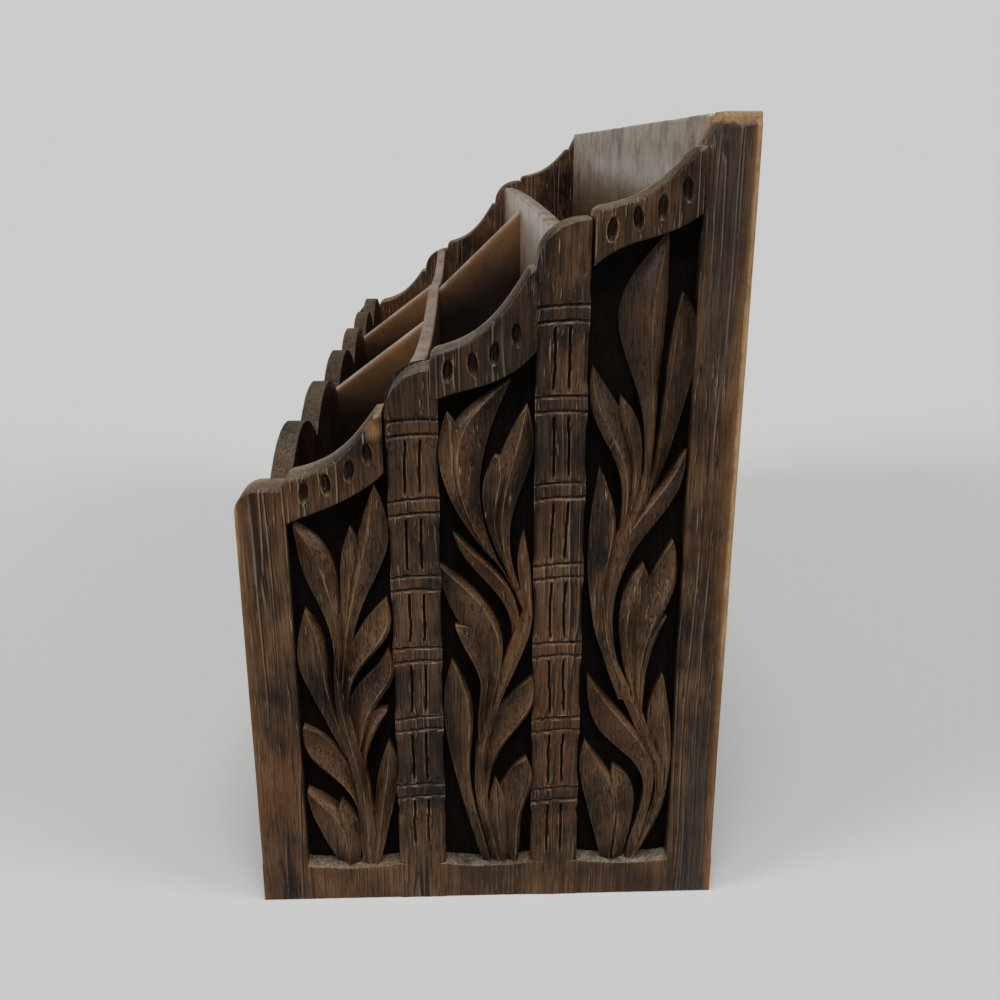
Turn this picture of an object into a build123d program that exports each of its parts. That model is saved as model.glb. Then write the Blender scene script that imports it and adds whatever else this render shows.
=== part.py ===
from build123d import *
import os

# Desk letter box in carved hardwood: three rows that step up from front to back.
# Frame: X along the rows, -Y front, +Y back, +Z up, origin at the middle of the footprint.

# ---- Overall sizes and board thicknesses ----------------------------------------------------
width = 327.5
depth = 120.3
height = 200.0
side_thickness = 12.7
board_thickness = 5.5
divider_thickness = 4.0
base_lift = 4.0
front_inset = 6.3
back_inset = 4.4

# ---- Joints: board ends sit in stopped grooves of the side panels ----------------------------
groove_depth = 3.0
groove_stop = 6.0
partition_groove = 1.2
fit_clearance = 0.1

# ---- Stepped outline of a side panel ---------------------------------------------------------
front_height = 115.3
front_corner_radius = 5.5
post_width = 12.0
post_spacing = 35.0
strip_rise_shares = (0.221, 0.263, 0.178)
post_rise_shares = (0.125, 0.129)
strip_near_laps = (0.6, 1.7, -0.8)
strip_far_laps = (1.0, -0.3, -0.3)
strip_near_drops = (8.3, 7.4, 11.2)
strip_under_rises = (13.2, 11.0, 12.2)
strip_under_sag = 0.8
back_corner_run = 3.4

# ---- Carved relief of a side panel -----------------------------------------------------------
relief_depth = 5.0
edge_chords = 7
bottom_rail = 10.5
dimple_count = 4
dimple_width = 2.8
dimple_length = 5.4
dimple_depth = 1.2
dimple_drop = 5.2
ring_gap = 3.6
ring_counts = (6, 7)
first_rings = (33.0, 31.0)
ring_headrooms = (4.0, 9.9)
incision_width = 0.7
incision_depth = 0.6
flute_offset = 1.7
flute_margin = 2.6

# ---- Front and back boards, row dividers and partitions --------------------------------------
# Widths of the hand-cut arches from left to right, as shares of the crest.
arch_shares = (0.154, 0.1523, 0.1602, 0.1857, 0.1814, 0.1664)
arch_notch_height = 113.0
arch_rise = 9.7
front_relief = 2.2
front_bay_border = 8.0
front_spray_stretch = 0.02463
front_spray_height = 0.88
front_divider_drop = 0.2
front_divider_scoop = 4.6
front_partition_lift = 2.3
front_partition_drop = 6.1
middle_partition_drops = (1.8, 2.6)
rear_divider_drop = 3.1
rear_divider_crown = 1.6

# Leaf sprays as seen on the right-hand panel. Each blade: left edge, tip, right edge (y, z).
leaf_sprays = (
    (
        (((-40, 12), (-45, 22.5), (-47.2, 32)), (-47, 36.4), ((-36, 12), (-36.6, 22), (-43, 31.6))),
        (((-38, 12), (-38.5, 22), (-39.2, 29)), (-38.6, 32.7), ((-34.3, 12), (-33.7, 20), (-35.6, 26.8))),
        (
            ((-33.8, 14), (-35, 29.5), (-43, 40), (-47.3, 47.5)),
            (-47.3, 54.4),
            ((-31.5, 20), (-35.5, 37), (-42.6, 49.5)),
        ),
        (((-36.8, 41), (-43.8, 58.5), (-47.6, 71)), (-45.2, 86.2), ((-36, 46), (-40, 64), (-42.2, 80))),
        (((-38.8, 58), (-39.6, 80), (-45, 94.5)), (-46.6, 108.5), ((-37.4, 60), (-36.5, 88), (-41, 103.2))),
        (((-37.5, 58), (-35, 84), (-31, 105)), (-27, 117.8), ((-35.8, 62), (-30.5, 86), (-23.9, 104))),
        (((-37.3, 66), (-36, 88), (-34.7, 102)), (-33.2, 107.5), ((-34.5, 75), (-32.3, 93), (-31.8, 103))),
        (((-38, 52), (-35.3, 71), (-30, 82)), (-24.8, 89), ((-35, 48), (-32.5, 67.5), (-23.9, 81))),
        (((-36.6, 45), (-33.8, 61.5), (-28, 69)), (-25, 75.5), ((-32.2, 45), (-27.5, 59), (-23.4, 68.5))),
        (((-33.4, 34), (-32, 48), (-28.6, 57)), (-25.7, 59), ((-29.4, 25), (-31.3, 43), (-27.6, 53.8))),
        (((-30.5, 12), (-29.5, 31), (-27.2, 43.5)), (-25.6, 49.8), ((-28.5, 12), (-24.5, 30), (-23.4, 41))),
        (((-33.6, 10), (-34, 30), (-38.4, 56)), (-38.2, 74), ((-29.4, 10), (-31.4, 36), (-36.4, 60))),
    ),
    (
        (((-2, 12), (-9.2, 41), (-10, 67)), (-8.9, 72.4), ((0, 14), (-4.6, 38), (-4.4, 61))),
        (((-2, 26), (-0.6, 52), (9, 63.4)), (11.4, 67.4), ((-0.4, 26), (4, 45.5), (12, 60.5))),
        (((1.8, 12), (2.2, 29), (5.6, 38)), (10, 44.5), ((8.2, 12), (9.5, 27), (11.6, 39))),
        (((2.6, 12), (0.4, 25), (0.8, 33)), (1.9, 38.5), ((5, 13), (4.6, 24), (3.6, 33))),
        (((-0.8, 54), (-2.5, 72), (-9.4, 86.5)), (-11.9, 97.8), ((0.8, 56), (3.6, 77), (-5, 91.6))),
        (((-3.2, 48), (-2.4, 67), (-6.1, 75.4)), (-8, 81.7), ((-1, 58), (-1, 70), (-4.5, 80))),
        (((4.4, 68), (5, 83), (-4.5, 95.2)), (-8.2, 105.8), ((7.4, 74), (4.6, 90.5), (-4, 100.6))),
        (((8.6, 82), (-3, 104), (-7.9, 131)), (5.8, 142.8), ((9.2, 83), (-1.7, 113), (2, 133))),
        (((4.6, 93), (-7.4, 110), (-11.1, 128)), (-9.3, 135.1), ((-2, 103), (-7, 117), (-7.5, 132))),
        (((8.8, 83), (2.4, 104), (3.6, 124)), (9.6, 136.8), ((10, 83), (5.7, 108), (11.2, 127))),
        (((5, 93), (0.2, 106), (-0.5, 118)), (2, 124.6), ((5, 97), (2.6, 110), (3.3, 123.5))),
        (((9.4, 80), (7.4, 95)), (9, 106.2), ((10.6, 80), (10, 97))),
        (((1.3, 10), (-3.4, 34), (1.6, 62)), (9.8, 94), ((4.4, 10), (-0.6, 36), (8, 74))),
    ),
    (
        (((30.2, 11), (25.6, 30), (24.3, 43)), (25.2, 49.2), ((33, 12), (33.6, 33), (27.5, 44))),
        (((33, 11), (33, 27), (31.9, 38)), (32, 42.8), ((35.5, 11), (38.6, 25), (36.2, 37))),
        (((37.2, 12), (40.4, 36), (28.5, 51)), (25.4, 67.8), ((39.6, 12), (42.9, 41), (29, 61.5))),
        (((44.8, 36), (41.3, 54)), (44.8, 67.7), ((47.6, 36), (46.5, 57))),
        (((37.5, 60), (35.6, 76), (41, 93.2)), (45.6, 103.2), ((39.5, 60), (42.6, 79), (47, 94.5))),
        (((37.8, 60), (33.2, 77), (35.3, 91.6)), (38.7, 97.4), ((38.5, 66), (38.5, 82), (40.2, 92))),
        (((38.3, 60), (40.5, 76)), (44.9, 83.8), ((39.3, 60), (42, 75.6))),
        (((31, 64), (25.2, 90), (25.7, 111.5)), (27.1, 121.6), ((32.5, 64), (28.6, 86), (31.2, 108))),
        (((28.8, 84), (31.6, 100), (44, 119)), (47.6, 125.8), ((30.8, 82), (36, 98.5), (46.6, 116))),
        (((31.5, 100), (31.4, 120), (24.4, 136)), (24.6, 145.8), ((34.5, 103), (35.2, 126), (29, 138.5))),
        (((33.6, 106), (34.5, 122), (31.4, 134)), (31.4, 138.7), ((35.3, 107), (36.9, 124), (34.3, 134.6))),
        (((37, 112), (36, 136.5), (30.5, 157)), (40.8, 175), ((39, 113), (40.6, 146), (41.4, 164))),
        (((38.4, 111), (41.5, 136), (43.2, 154)), (44.8, 161.9), ((40.6, 115), (47.4, 140), (47.6, 157))),
        (((36.6, 10), (43.2, 38), (25.8, 78)), (28.4, 98), ((39.8, 10), (47.2, 40), (31, 80))),
        (((28.4, 80), (30.6, 100), (36.8, 116)), (38.3, 126), ((31, 80), (33.6, 96), (38.4, 112))),
    ),
)

# ---- Places worked out from the sizes --------------------------------------------------------
half_width = width / 2
half_depth = depth / 2
inner_half = half_width - side_thickness
tongue_half = inner_half + groove_depth - fit_clearance
front_face = -half_depth + front_inset
front_inner = front_face + board_thickness
back_face = half_depth - back_inset
back_inner = back_face - board_thickness
row_depth = (back_inner - front_inner - 2 * divider_thickness) / 3
front_divider_face = front_inner + row_depth
front_divider_back = front_divider_face + divider_thickness
rear_divider_face = front_divider_back + row_depth
rear_divider_back = rear_divider_face + divider_thickness
floor_height = base_lift + board_thickness
notch_xs = [-inner_half + 2 * inner_half * sum(arch_shares[:number]) for number in range(len(arch_shares) + 1)]
partition_xs = (notch_xs[2], notch_xs[4])

post_near_edges = (-post_spacing / 2 - post_width / 2, post_spacing / 2 - post_width / 2)
post_far_edges = (-post_spacing / 2 + post_width / 2, post_spacing / 2 + post_width / 2)
window_near = (-half_depth + post_width, post_far_edges[0], post_far_edges[1])
window_far = (post_near_edges[0], post_near_edges[1], half_depth - post_width)
drawn_window_middles = (-35.8, 0.0, 35.8)

# Low and high ends of the three scalloped strips, from the front post up to the back post.
step_rise = height - front_height
strip_lows = [front_height]
strip_highs = []
for strip_share, post_share in zip(strip_rise_shares, post_rise_shares):
    strip_highs.append(strip_lows[-1] + strip_share * step_rise)
    strip_lows.append(strip_highs[-1] + post_share * step_rise)
strip_highs.append(strip_lows[-1] + strip_rise_shares[-1] * step_rise)

# Tops of the boards behind the steps, and the pitch of the rings up each cane post.
front_divider_height = strip_lows[1] - front_divider_drop
rear_divider_height = strip_lows[2] - rear_divider_drop
front_partition_start = arch_notch_height + front_partition_lift
front_partition_end = front_divider_height - front_partition_drop
middle_partition_start = front_divider_height - middle_partition_drops[0]
middle_partition_end = rear_divider_height - middle_partition_drops[1]
last_rings = [strip_highs[post] - ring_headrooms[post] for post in range(2)]
ring_pitches = [(last_rings[post] - first_rings[post]) / (ring_counts[post] - 1) for post in range(2)]

# The outer face of the right-hand panel: sketch x runs to the back, sketch y runs up.
outer_plane = Plane(origin=(half_width, 0, 0), x_dir=(0, 1, 0), z_dir=(1, 0, 0))
inner_plane = Plane(origin=(inner_half, 0, 0), x_dir=(0, 1, 0), z_dir=(1, 0, 0))


def leaf_face(left_edge, tip, right_edge, stretch=(1, 1), shift=(0, 0)):
    """One blade: two knife-cut edges that start apart at the stem and meet at the tip."""

    def place(point):
        return (point[0] * stretch[0] + shift[0], point[1] * stretch[1] + shift[1])

    with BuildSketch() as blade:
        with BuildLine():
            for edge in (left_edge, right_edge):
                points = [Vector(*place(point)) for point in (*edge, tip)]
                ends = (points[1] - points[0], points[-1] - points[-2])
                curve = Spline(*points, tangents=ends, mode=Mode.PRIVATE)
                Polyline([curve @ (chord / edge_chords) for chord in range(edge_chords + 1)])
            Line(place(left_edge[0]), place(right_edge[0]))
        make_face()
    return blade.sketch


def spray_face(spray, stretch=(1, 1), shift=(0, 0)):
    """All the blades and the stem of one spray, joined into one shape."""
    with BuildSketch() as joined:
        for left_edge, tip, right_edge in spray:
            add(leaf_face(left_edge, tip, right_edge, stretch, shift))
    return joined.sketch


def window_face(index):
    """The sunk window between two posts, from the bottom rail to the underside of its strip."""
    near, far = window_near[index], window_far[index]
    under_low = strip_lows[index] - strip_near_drops[index]
    under_high = under_low + strip_under_rises[index]
    middle = ((near + far) / 2, (under_low + under_high) / 2 - strip_under_sag)
    with BuildSketch() as window:
        with BuildLine():
            Line((far, bottom_rail), (near, bottom_rail))
            Line((near, bottom_rail), (near, under_low))
            ThreePointArc((near, under_low), middle, (far, under_high))
            Line((far, under_high), (far, bottom_rail))
        make_face()
    return window.sketch


def strip_ends(index):
    """The two notches that bound a strip on the outline, with the ledges over the posts."""
    near = (window_near[index] - strip_near_laps[index], strip_lows[index])
    far = (window_far[index] - strip_far_laps[index], strip_highs[index])
    return near, far


def between(start, end, across, up):
    """A point part of the way from start to end, by separate shares along y and z."""
    return (start[0] + across * (end[0] - start[0]), start[1] + up * (end[1] - start[1]))


# ---- Side panels -----------------------------------------------------------------------------
with BuildSketch() as panel_outline:
    with BuildLine():
        low_front = (-half_depth, front_height - front_corner_radius)
        post_top = (-half_depth + front_corner_radius, front_height)
        Line((half_depth, 0), (-half_depth, 0))
        Line((-half_depth, 0), low_front)
        RadiusArc(low_front, post_top, front_corner_radius)
        Line(post_top, strip_ends(0)[0])
        for step in range(3):
            start, end = strip_ends(step)
            lip = between(start, end, 0.08, 0.15)
            brow = between(start, end, 0.93, 0.98)
            Bezier(start, between(start, end, 0.0, 0.12), lip)
            Bezier(lip, between(start, end, 0.55, 0.27), between(start, end, 0.72, 0.62), brow)
            Line(brow, end)
            if step < 2:
                landing = strip_ends(step + 1)[0]
                Bezier(end, between(end, landing, 0, 0.6), between(end, landing, 0.42, 1), landing)
            else:
                landing = (end[0] + back_corner_run, height)
                Bezier(end, between(end, landing, 0.42, 0.4), landing)
        Line(landing, (half_depth, height))
        Line((half_depth, height), (half_depth, 0))
    make_face()

# Grooves: (near edge, thickness, top of the board, where it starts).
side_grooves = (
    (front_face, board_thickness, arch_notch_height, 0),
    (front_divider_face, divider_thickness, front_divider_height, floor_height),
    (rear_divider_face, divider_thickness, rear_divider_height, floor_height),
    (back_inner, board_thickness, height, 0),
)

# A punched dimple: an upright oval with eight flats.
dimple_corners = [
    (across * dimple_width / 2, up * dimple_length / 2)
    for across, up in (
        *((0.45, -1), (1, -0.5), (1, 0.5), (0.45, 1)),
        *((-0.45, 1), (-1, 0.5), (-1, -0.5), (-0.45, -1)),
    )
]

panel_windows = [window_face(index) for index in range(3)]
panel_sprays = []
for index, spray in enumerate(leaf_sprays):
    drift = (window_near[index] + window_far[index]) / 2 - drawn_window_middles[index]
    panel_sprays.append(spray_face(spray, shift=(drift, 0)))

with BuildPart() as side_panel_right:
    with BuildSketch(inner_plane):
        add(panel_outline.sketch)
    extrude(amount=side_thickness)

    # Windows sunk round the leaf sprays.
    with BuildSketch(outer_plane):
        add(panel_windows)
        add(panel_sprays, mode=Mode.SUBTRACT)
    extrude(amount=-relief_depth, mode=Mode.SUBTRACT)

    # Punched dimples along the scalloped strips.
    with BuildSketch(outer_plane):
        for index in range(3):
            start, end = strip_ends(index)
            for number in range(dimple_count):
                along = (number + 0.9) / (dimple_count + 0.7)
                center = between(start, end, along, 0.15 + 0.6 * along)
                with Locations((center[0], center[1] - dimple_drop)):
                    Polygon(*dimple_corners, align=None)
    extrude(amount=-dimple_depth, mode=Mode.SUBTRACT)

    # Paired rings and upright flutes incised on the two middle posts, like jointed cane.
    with BuildSketch(outer_plane):
        for post in range(2):
            post_y = (post_near_edges[post] + post_far_edges[post]) / 2
            flute_length = ring_pitches[post] - ring_gap - 2 * flute_margin
            for number in range(ring_counts[post]):
                ring_z = first_rings[post] + number * ring_pitches[post]
                with Locations((post_y, ring_z - ring_gap / 2), (post_y, ring_z + ring_gap / 2)):
                    Rectangle(post_width, incision_width)
                if number < ring_counts[post] - 1:
                    flute_z = ring_z + ring_pitches[post] / 2
                    with Locations((post_y - flute_offset, flute_z), (post_y + flute_offset, flute_z)):
                        Rectangle(incision_width, flute_length)
    extrude(amount=-incision_depth, mode=Mode.SUBTRACT)

    # Stopped grooves for the boards and row dividers, and one for the base board.
    with BuildSketch(inner_plane):
        for near_edge, thickness, top, start_z in side_grooves:
            groove_low = (near_edge - fit_clearance, start_z)
            groove_high = (near_edge + thickness + fit_clearance, top - groove_stop + fit_clearance)
            with Locations(groove_low):
                Rectangle(groove_high[0] - groove_low[0], groove_high[1] - groove_low[1], align=Align.MIN)
        with Locations((front_inner, base_lift - fit_clearance)):
            Rectangle(back_inner - front_inner, board_thickness + 2 * fit_clearance, align=Align.MIN)
    extrude(amount=groove_depth, mode=Mode.SUBTRACT)
side_panel_right.part.label = "side_panel_right"
export_step(side_panel_right.part, "parts/side_panel_right.step")

with BuildPart() as side_panel_left:
    mirror(side_panel_right.part, about=Plane.YZ)
side_panel_left.part.label = "side_panel_left"
export_step(side_panel_left.part, "parts/side_panel_left.step")

# ---- Base board ------------------------------------------------------------------------------
with BuildPart() as base_board:
    with Locations((0, (front_inner + back_inner) / 2, base_lift)):
        Box(
            2 * tongue_half,
            back_inner - front_inner - fit_clearance,
            board_thickness,
            align=(Align.CENTER, Align.CENTER, Align.MIN),
        )
base_board.part.label = "base_board"
export_step(base_board.part, "parts/base_board.step")

# ---- Front panel: a crest of arches over six carved bays -------------------------------------
front_plane = Plane(origin=(0, front_face, 0), x_dir=(1, 0, 0), z_dir=(0, -1, 0))

bay_sprays = []
for number, (arch_near, arch_far) in enumerate(zip(notch_xs, notch_xs[1:])):
    turn = 1 if number % 2 else -1
    stretch = (turn * front_spray_stretch * (arch_far - arch_near), front_spray_height)
    shift = ((arch_near + arch_far) / 2 - stretch[0] * drawn_window_middles[0], 0)
    bay_sprays.append(spray_face(leaf_sprays[0], stretch, shift))

with BuildPart() as front_panel:
    with BuildSketch(front_plane):
        with BuildLine():
            Line((-inner_half, arch_notch_height), (-inner_half, 0))
            Line((-inner_half, 0), (inner_half, 0))
            Line((inner_half, 0), (inner_half, arch_notch_height))
            for arch_near, arch_far in zip(notch_xs, notch_xs[1:]):
                ThreePointArc(
                    (arch_near, arch_notch_height),
                    ((arch_near + arch_far) / 2, arch_notch_height + arch_rise),
                    (arch_far, arch_notch_height),
                )
        make_face()
        with Locations((0, (arch_notch_height - groove_stop) / 2)):
            Rectangle(2 * tongue_half, arch_notch_height - groove_stop)
    extrude(amount=-board_thickness)

    # One sunk bay with a leaf spray under every arch.
    with BuildSketch(front_plane):
        for arch_near, arch_far in zip(notch_xs, notch_xs[1:]):
            bay_near, bay_far = arch_near + front_bay_border / 2, arch_far - front_bay_border / 2
            bay_top = arch_notch_height - front_bay_border
            middle = (arch_near + arch_far) / 2
            with BuildLine():
                Line((bay_near, bottom_rail), (bay_far, bottom_rail))
                Line((bay_far, bottom_rail), (bay_far, bay_top))
                ThreePointArc((bay_far, bay_top), (middle, bay_top + arch_rise * 0.8), (bay_near, bay_top))
                Line((bay_near, bay_top), (bay_near, bottom_rail))
            make_face()
        add(bay_sprays, mode=Mode.SUBTRACT)
    extrude(amount=-front_relief, mode=Mode.SUBTRACT)

    # Housings behind the crest for the two front partitions.
    with Locations([(x, front_inner, floor_height) for x in partition_xs]):
        Box(
            divider_thickness + 2 * fit_clearance,
            2 * partition_groove,
            front_partition_start - floor_height,
            align=(Align.CENTER, Align.CENTER, Align.MIN),
            mode=Mode.SUBTRACT,
        )
front_panel.part.label = "front_panel"
export_step(front_panel.part, "parts/front_panel.step")

# ---- Back panel ------------------------------------------------------------------------------
with BuildPart() as back_panel:
    with Locations((0, back_inner, 0)):
        Box(2 * inner_half, board_thickness, height, align=(Align.CENTER, Align.MIN, Align.MIN))
        Box(2 * tongue_half, board_thickness, height - groove_stop, align=(Align.CENTER, Align.MIN, Align.MIN))
back_panel.part.label = "back_panel"
export_step(back_panel.part, "parts/back_panel.step")

# ---- Row dividers, standing on the base board -------------------------------------------------
front_divider_plane = Plane(origin=(0, front_divider_face, 0), x_dir=(1, 0, 0), z_dir=(0, -1, 0))
rear_divider_plane = Plane(origin=(0, rear_divider_face, 0), x_dir=(1, 0, 0), z_dir=(0, -1, 0))

with BuildPart() as front_row_divider:
    with BuildSketch(front_divider_plane):
        with BuildLine():
            Line((-inner_half, front_divider_height), (-inner_half, floor_height))
            Line((-inner_half, floor_height), (inner_half, floor_height))
            Line((inner_half, floor_height), (inner_half, front_divider_height))
            for near, far in ((-inner_half, 0), (0, inner_half)):
                ThreePointArc(
                    (near, front_divider_height),
                    ((near + far) / 2, front_divider_height - front_divider_scoop),
                    (far, front_divider_height),
                )
        make_face()
        with Locations((0, floor_height)):
            tongue_height = front_divider_height - groove_stop - floor_height
            Rectangle(2 * tongue_half, tongue_height, align=(Align.CENTER, Align.MIN))
    extrude(amount=-divider_thickness)

    # Housings: two in front for the front partitions, one behind for the middle partition.
    with Locations([(x, front_divider_face, floor_height) for x in partition_xs]):
        Box(
            divider_thickness + 2 * fit_clearance,
            2 * partition_groove,
            front_partition_end + fit_clearance - floor_height,
            align=(Align.CENTER, Align.CENTER, Align.MIN),
            mode=Mode.SUBTRACT,
        )
    with Locations((0, front_divider_back, floor_height)):
        Box(
            divider_thickness + 2 * fit_clearance,
            2 * partition_groove,
            middle_partition_start + fit_clearance - floor_height,
            align=(Align.CENTER, Align.CENTER, Align.MIN),
            mode=Mode.SUBTRACT,
        )
front_row_divider.part.label = "front_row_divider"
export_step(front_row_divider.part, "parts/front_row_divider.step")

with BuildPart() as rear_row_divider:
    with BuildSketch(rear_divider_plane):
        with BuildLine():
            Line((-inner_half, rear_divider_height), (-inner_half, floor_height))
            Line((-inner_half, floor_height), (inner_half, floor_height))
            Line((inner_half, floor_height), (inner_half, rear_divider_height))
            ThreePointArc(
                (-inner_half, rear_divider_height),
                (0, rear_divider_height + rear_divider_crown),
                (inner_half, rear_divider_height),
            )
        make_face()
        with Locations((0, floor_height)):
            tongue_height = rear_divider_height - groove_stop - floor_height
            Rectangle(2 * tongue_half, tongue_height, align=(Align.CENTER, Align.MIN))
    extrude(amount=-divider_thickness)

    with Locations((0, rear_divider_face, floor_height)):
        Box(
            divider_thickness + 2 * fit_clearance,
            2 * partition_groove,
            middle_partition_end + fit_clearance - floor_height,
            align=(Align.CENTER, Align.CENTER, Align.MIN),
            mode=Mode.SUBTRACT,
        )
rear_row_divider.part.label = "rear_row_divider"
export_step(rear_row_divider.part, "parts/rear_row_divider.step")


# ---- Partitions that split the rows into bays --------------------------------------------------
def partition_profile(near, far, low, high):
    """A partition seen from the side: its top edge climbs to the rear, its ends fill the housings."""
    tongue = partition_groove - fit_clearance
    with BuildSketch() as profile:
        with BuildLine():
            Polyline(
                (near - tongue, floor_height),
                (far + tongue, floor_height),
                (far + tongue, high),
                (far, high),
                (near, low),
                (near - tongue, low),
                close=True,
            )
        make_face()
    return profile.sketch


front_partition = partition_profile(
    front_inner,
    front_divider_face,
    front_partition_start - fit_clearance,
    front_partition_end - fit_clearance,
)
middle_partition = partition_profile(
    front_divider_back, rear_divider_face, middle_partition_start, middle_partition_end
)

with BuildPart() as front_partition_left:
    with BuildSketch(Plane(origin=(partition_xs[0], 0, 0), x_dir=(0, 1, 0), z_dir=(1, 0, 0))):
        add(front_partition)
    extrude(amount=divider_thickness / 2, both=True)
front_partition_left.part.label = "front_partition_left"
export_step(front_partition_left.part, "parts/front_partition_left.step")

with BuildPart() as front_partition_right:
    with BuildSketch(Plane(origin=(partition_xs[1], 0, 0), x_dir=(0, 1, 0), z_dir=(1, 0, 0))):
        add(front_partition)
    extrude(amount=divider_thickness / 2, both=True)
front_partition_right.part.label = "front_partition_right"
export_step(front_partition_right.part, "parts/front_partition_right.step")

with BuildPart() as middle_row_partition:
    with BuildSketch(Plane(origin=(0, 0, 0), x_dir=(0, 1, 0), z_dir=(1, 0, 0))):
        add(middle_partition)
    extrude(amount=divider_thickness / 2, both=True)
middle_row_partition.part.label = "middle_row_partition"
export_step(middle_row_partition.part, "parts/middle_row_partition.step")
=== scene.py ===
"""Dressed model of a carved hardwood desk letter box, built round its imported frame.

Sizes in the classes are millimetres in the part's own frame: X along the rows, +Y to the tall
back, +Z up. Meshes are written in metres, with every finished piece at the origin.
"""

import logging
import math
from dataclasses import dataclass, field
from enum import Enum
from typing import Callable, Sequence

import bpy
import numpy as np
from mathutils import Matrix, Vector, noise

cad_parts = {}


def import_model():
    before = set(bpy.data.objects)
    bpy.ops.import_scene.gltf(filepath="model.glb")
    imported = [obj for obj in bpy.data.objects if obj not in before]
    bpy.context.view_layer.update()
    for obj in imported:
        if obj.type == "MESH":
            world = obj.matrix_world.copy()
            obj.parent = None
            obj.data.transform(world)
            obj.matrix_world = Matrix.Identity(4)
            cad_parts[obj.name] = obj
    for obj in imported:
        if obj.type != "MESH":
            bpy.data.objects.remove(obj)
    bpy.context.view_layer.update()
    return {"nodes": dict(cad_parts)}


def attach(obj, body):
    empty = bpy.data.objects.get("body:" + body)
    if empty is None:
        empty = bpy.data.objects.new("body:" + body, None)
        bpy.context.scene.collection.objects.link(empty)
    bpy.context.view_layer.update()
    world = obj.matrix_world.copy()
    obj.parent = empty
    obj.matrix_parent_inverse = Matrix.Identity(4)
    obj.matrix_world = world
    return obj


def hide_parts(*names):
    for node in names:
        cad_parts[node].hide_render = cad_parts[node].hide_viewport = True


MM = 0.001
SHARP = 40.0
BODY = "root"
log = logging.getLogger("letter_box")

Point = tuple[float, float]
Color = tuple[float, float, float]
Fibre = tuple[float, float, float, float]
Cloud = tuple[float, float, float]


# --- Node arithmetic ---
def math_method(operation: str, flipped: bool = False) -> Callable[..., "Signal"]:
    """Make the method that adds one Math node to a value.

    Args:
        operation: Blender's name of the operation.
        flipped: whether the value itself comes last.

    Returns:
        The method.
    """

    def method(self: "Signal", *others: "Signal | float") -> "Signal":
        """Add the Math node and return its result."""
        values = (*others, self) if flipped else (self, *others)
        return self.bench.signal("ShaderNodeMath", {"operation": operation}, dict(enumerate(values)))

    return method


@dataclass(eq=False)
class Signal:
    """A node socket that can be used in Python arithmetic; wrap takes the high end first."""

    bench: "Bench"
    socket: bpy.types.NodeSocket

    __add__ = __radd__ = math_method("ADD")
    __sub__ = math_method("SUBTRACT")
    __rsub__ = math_method("SUBTRACT", flipped=True)
    __mul__ = __rmul__ = math_method("MULTIPLY")
    __truediv__ = math_method("DIVIDE")
    __pow__ = math_method("POWER")
    __abs__ = math_method("ABSOLUTE")
    most = math_method("MAXIMUM")
    root = math_method("SQRT")
    wrap = math_method("WRAP")

    def ramp(self, start: "Signal | float", end: "Signal | float") -> "Signal":
        """A smooth step from 0 at start to 1 at end."""
        settings = {"interpolation_type": "SMOOTHSTEP"}
        return self.bench.signal("ShaderNodeMapRange", settings, {0: self, 1: start, 2: end})


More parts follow.
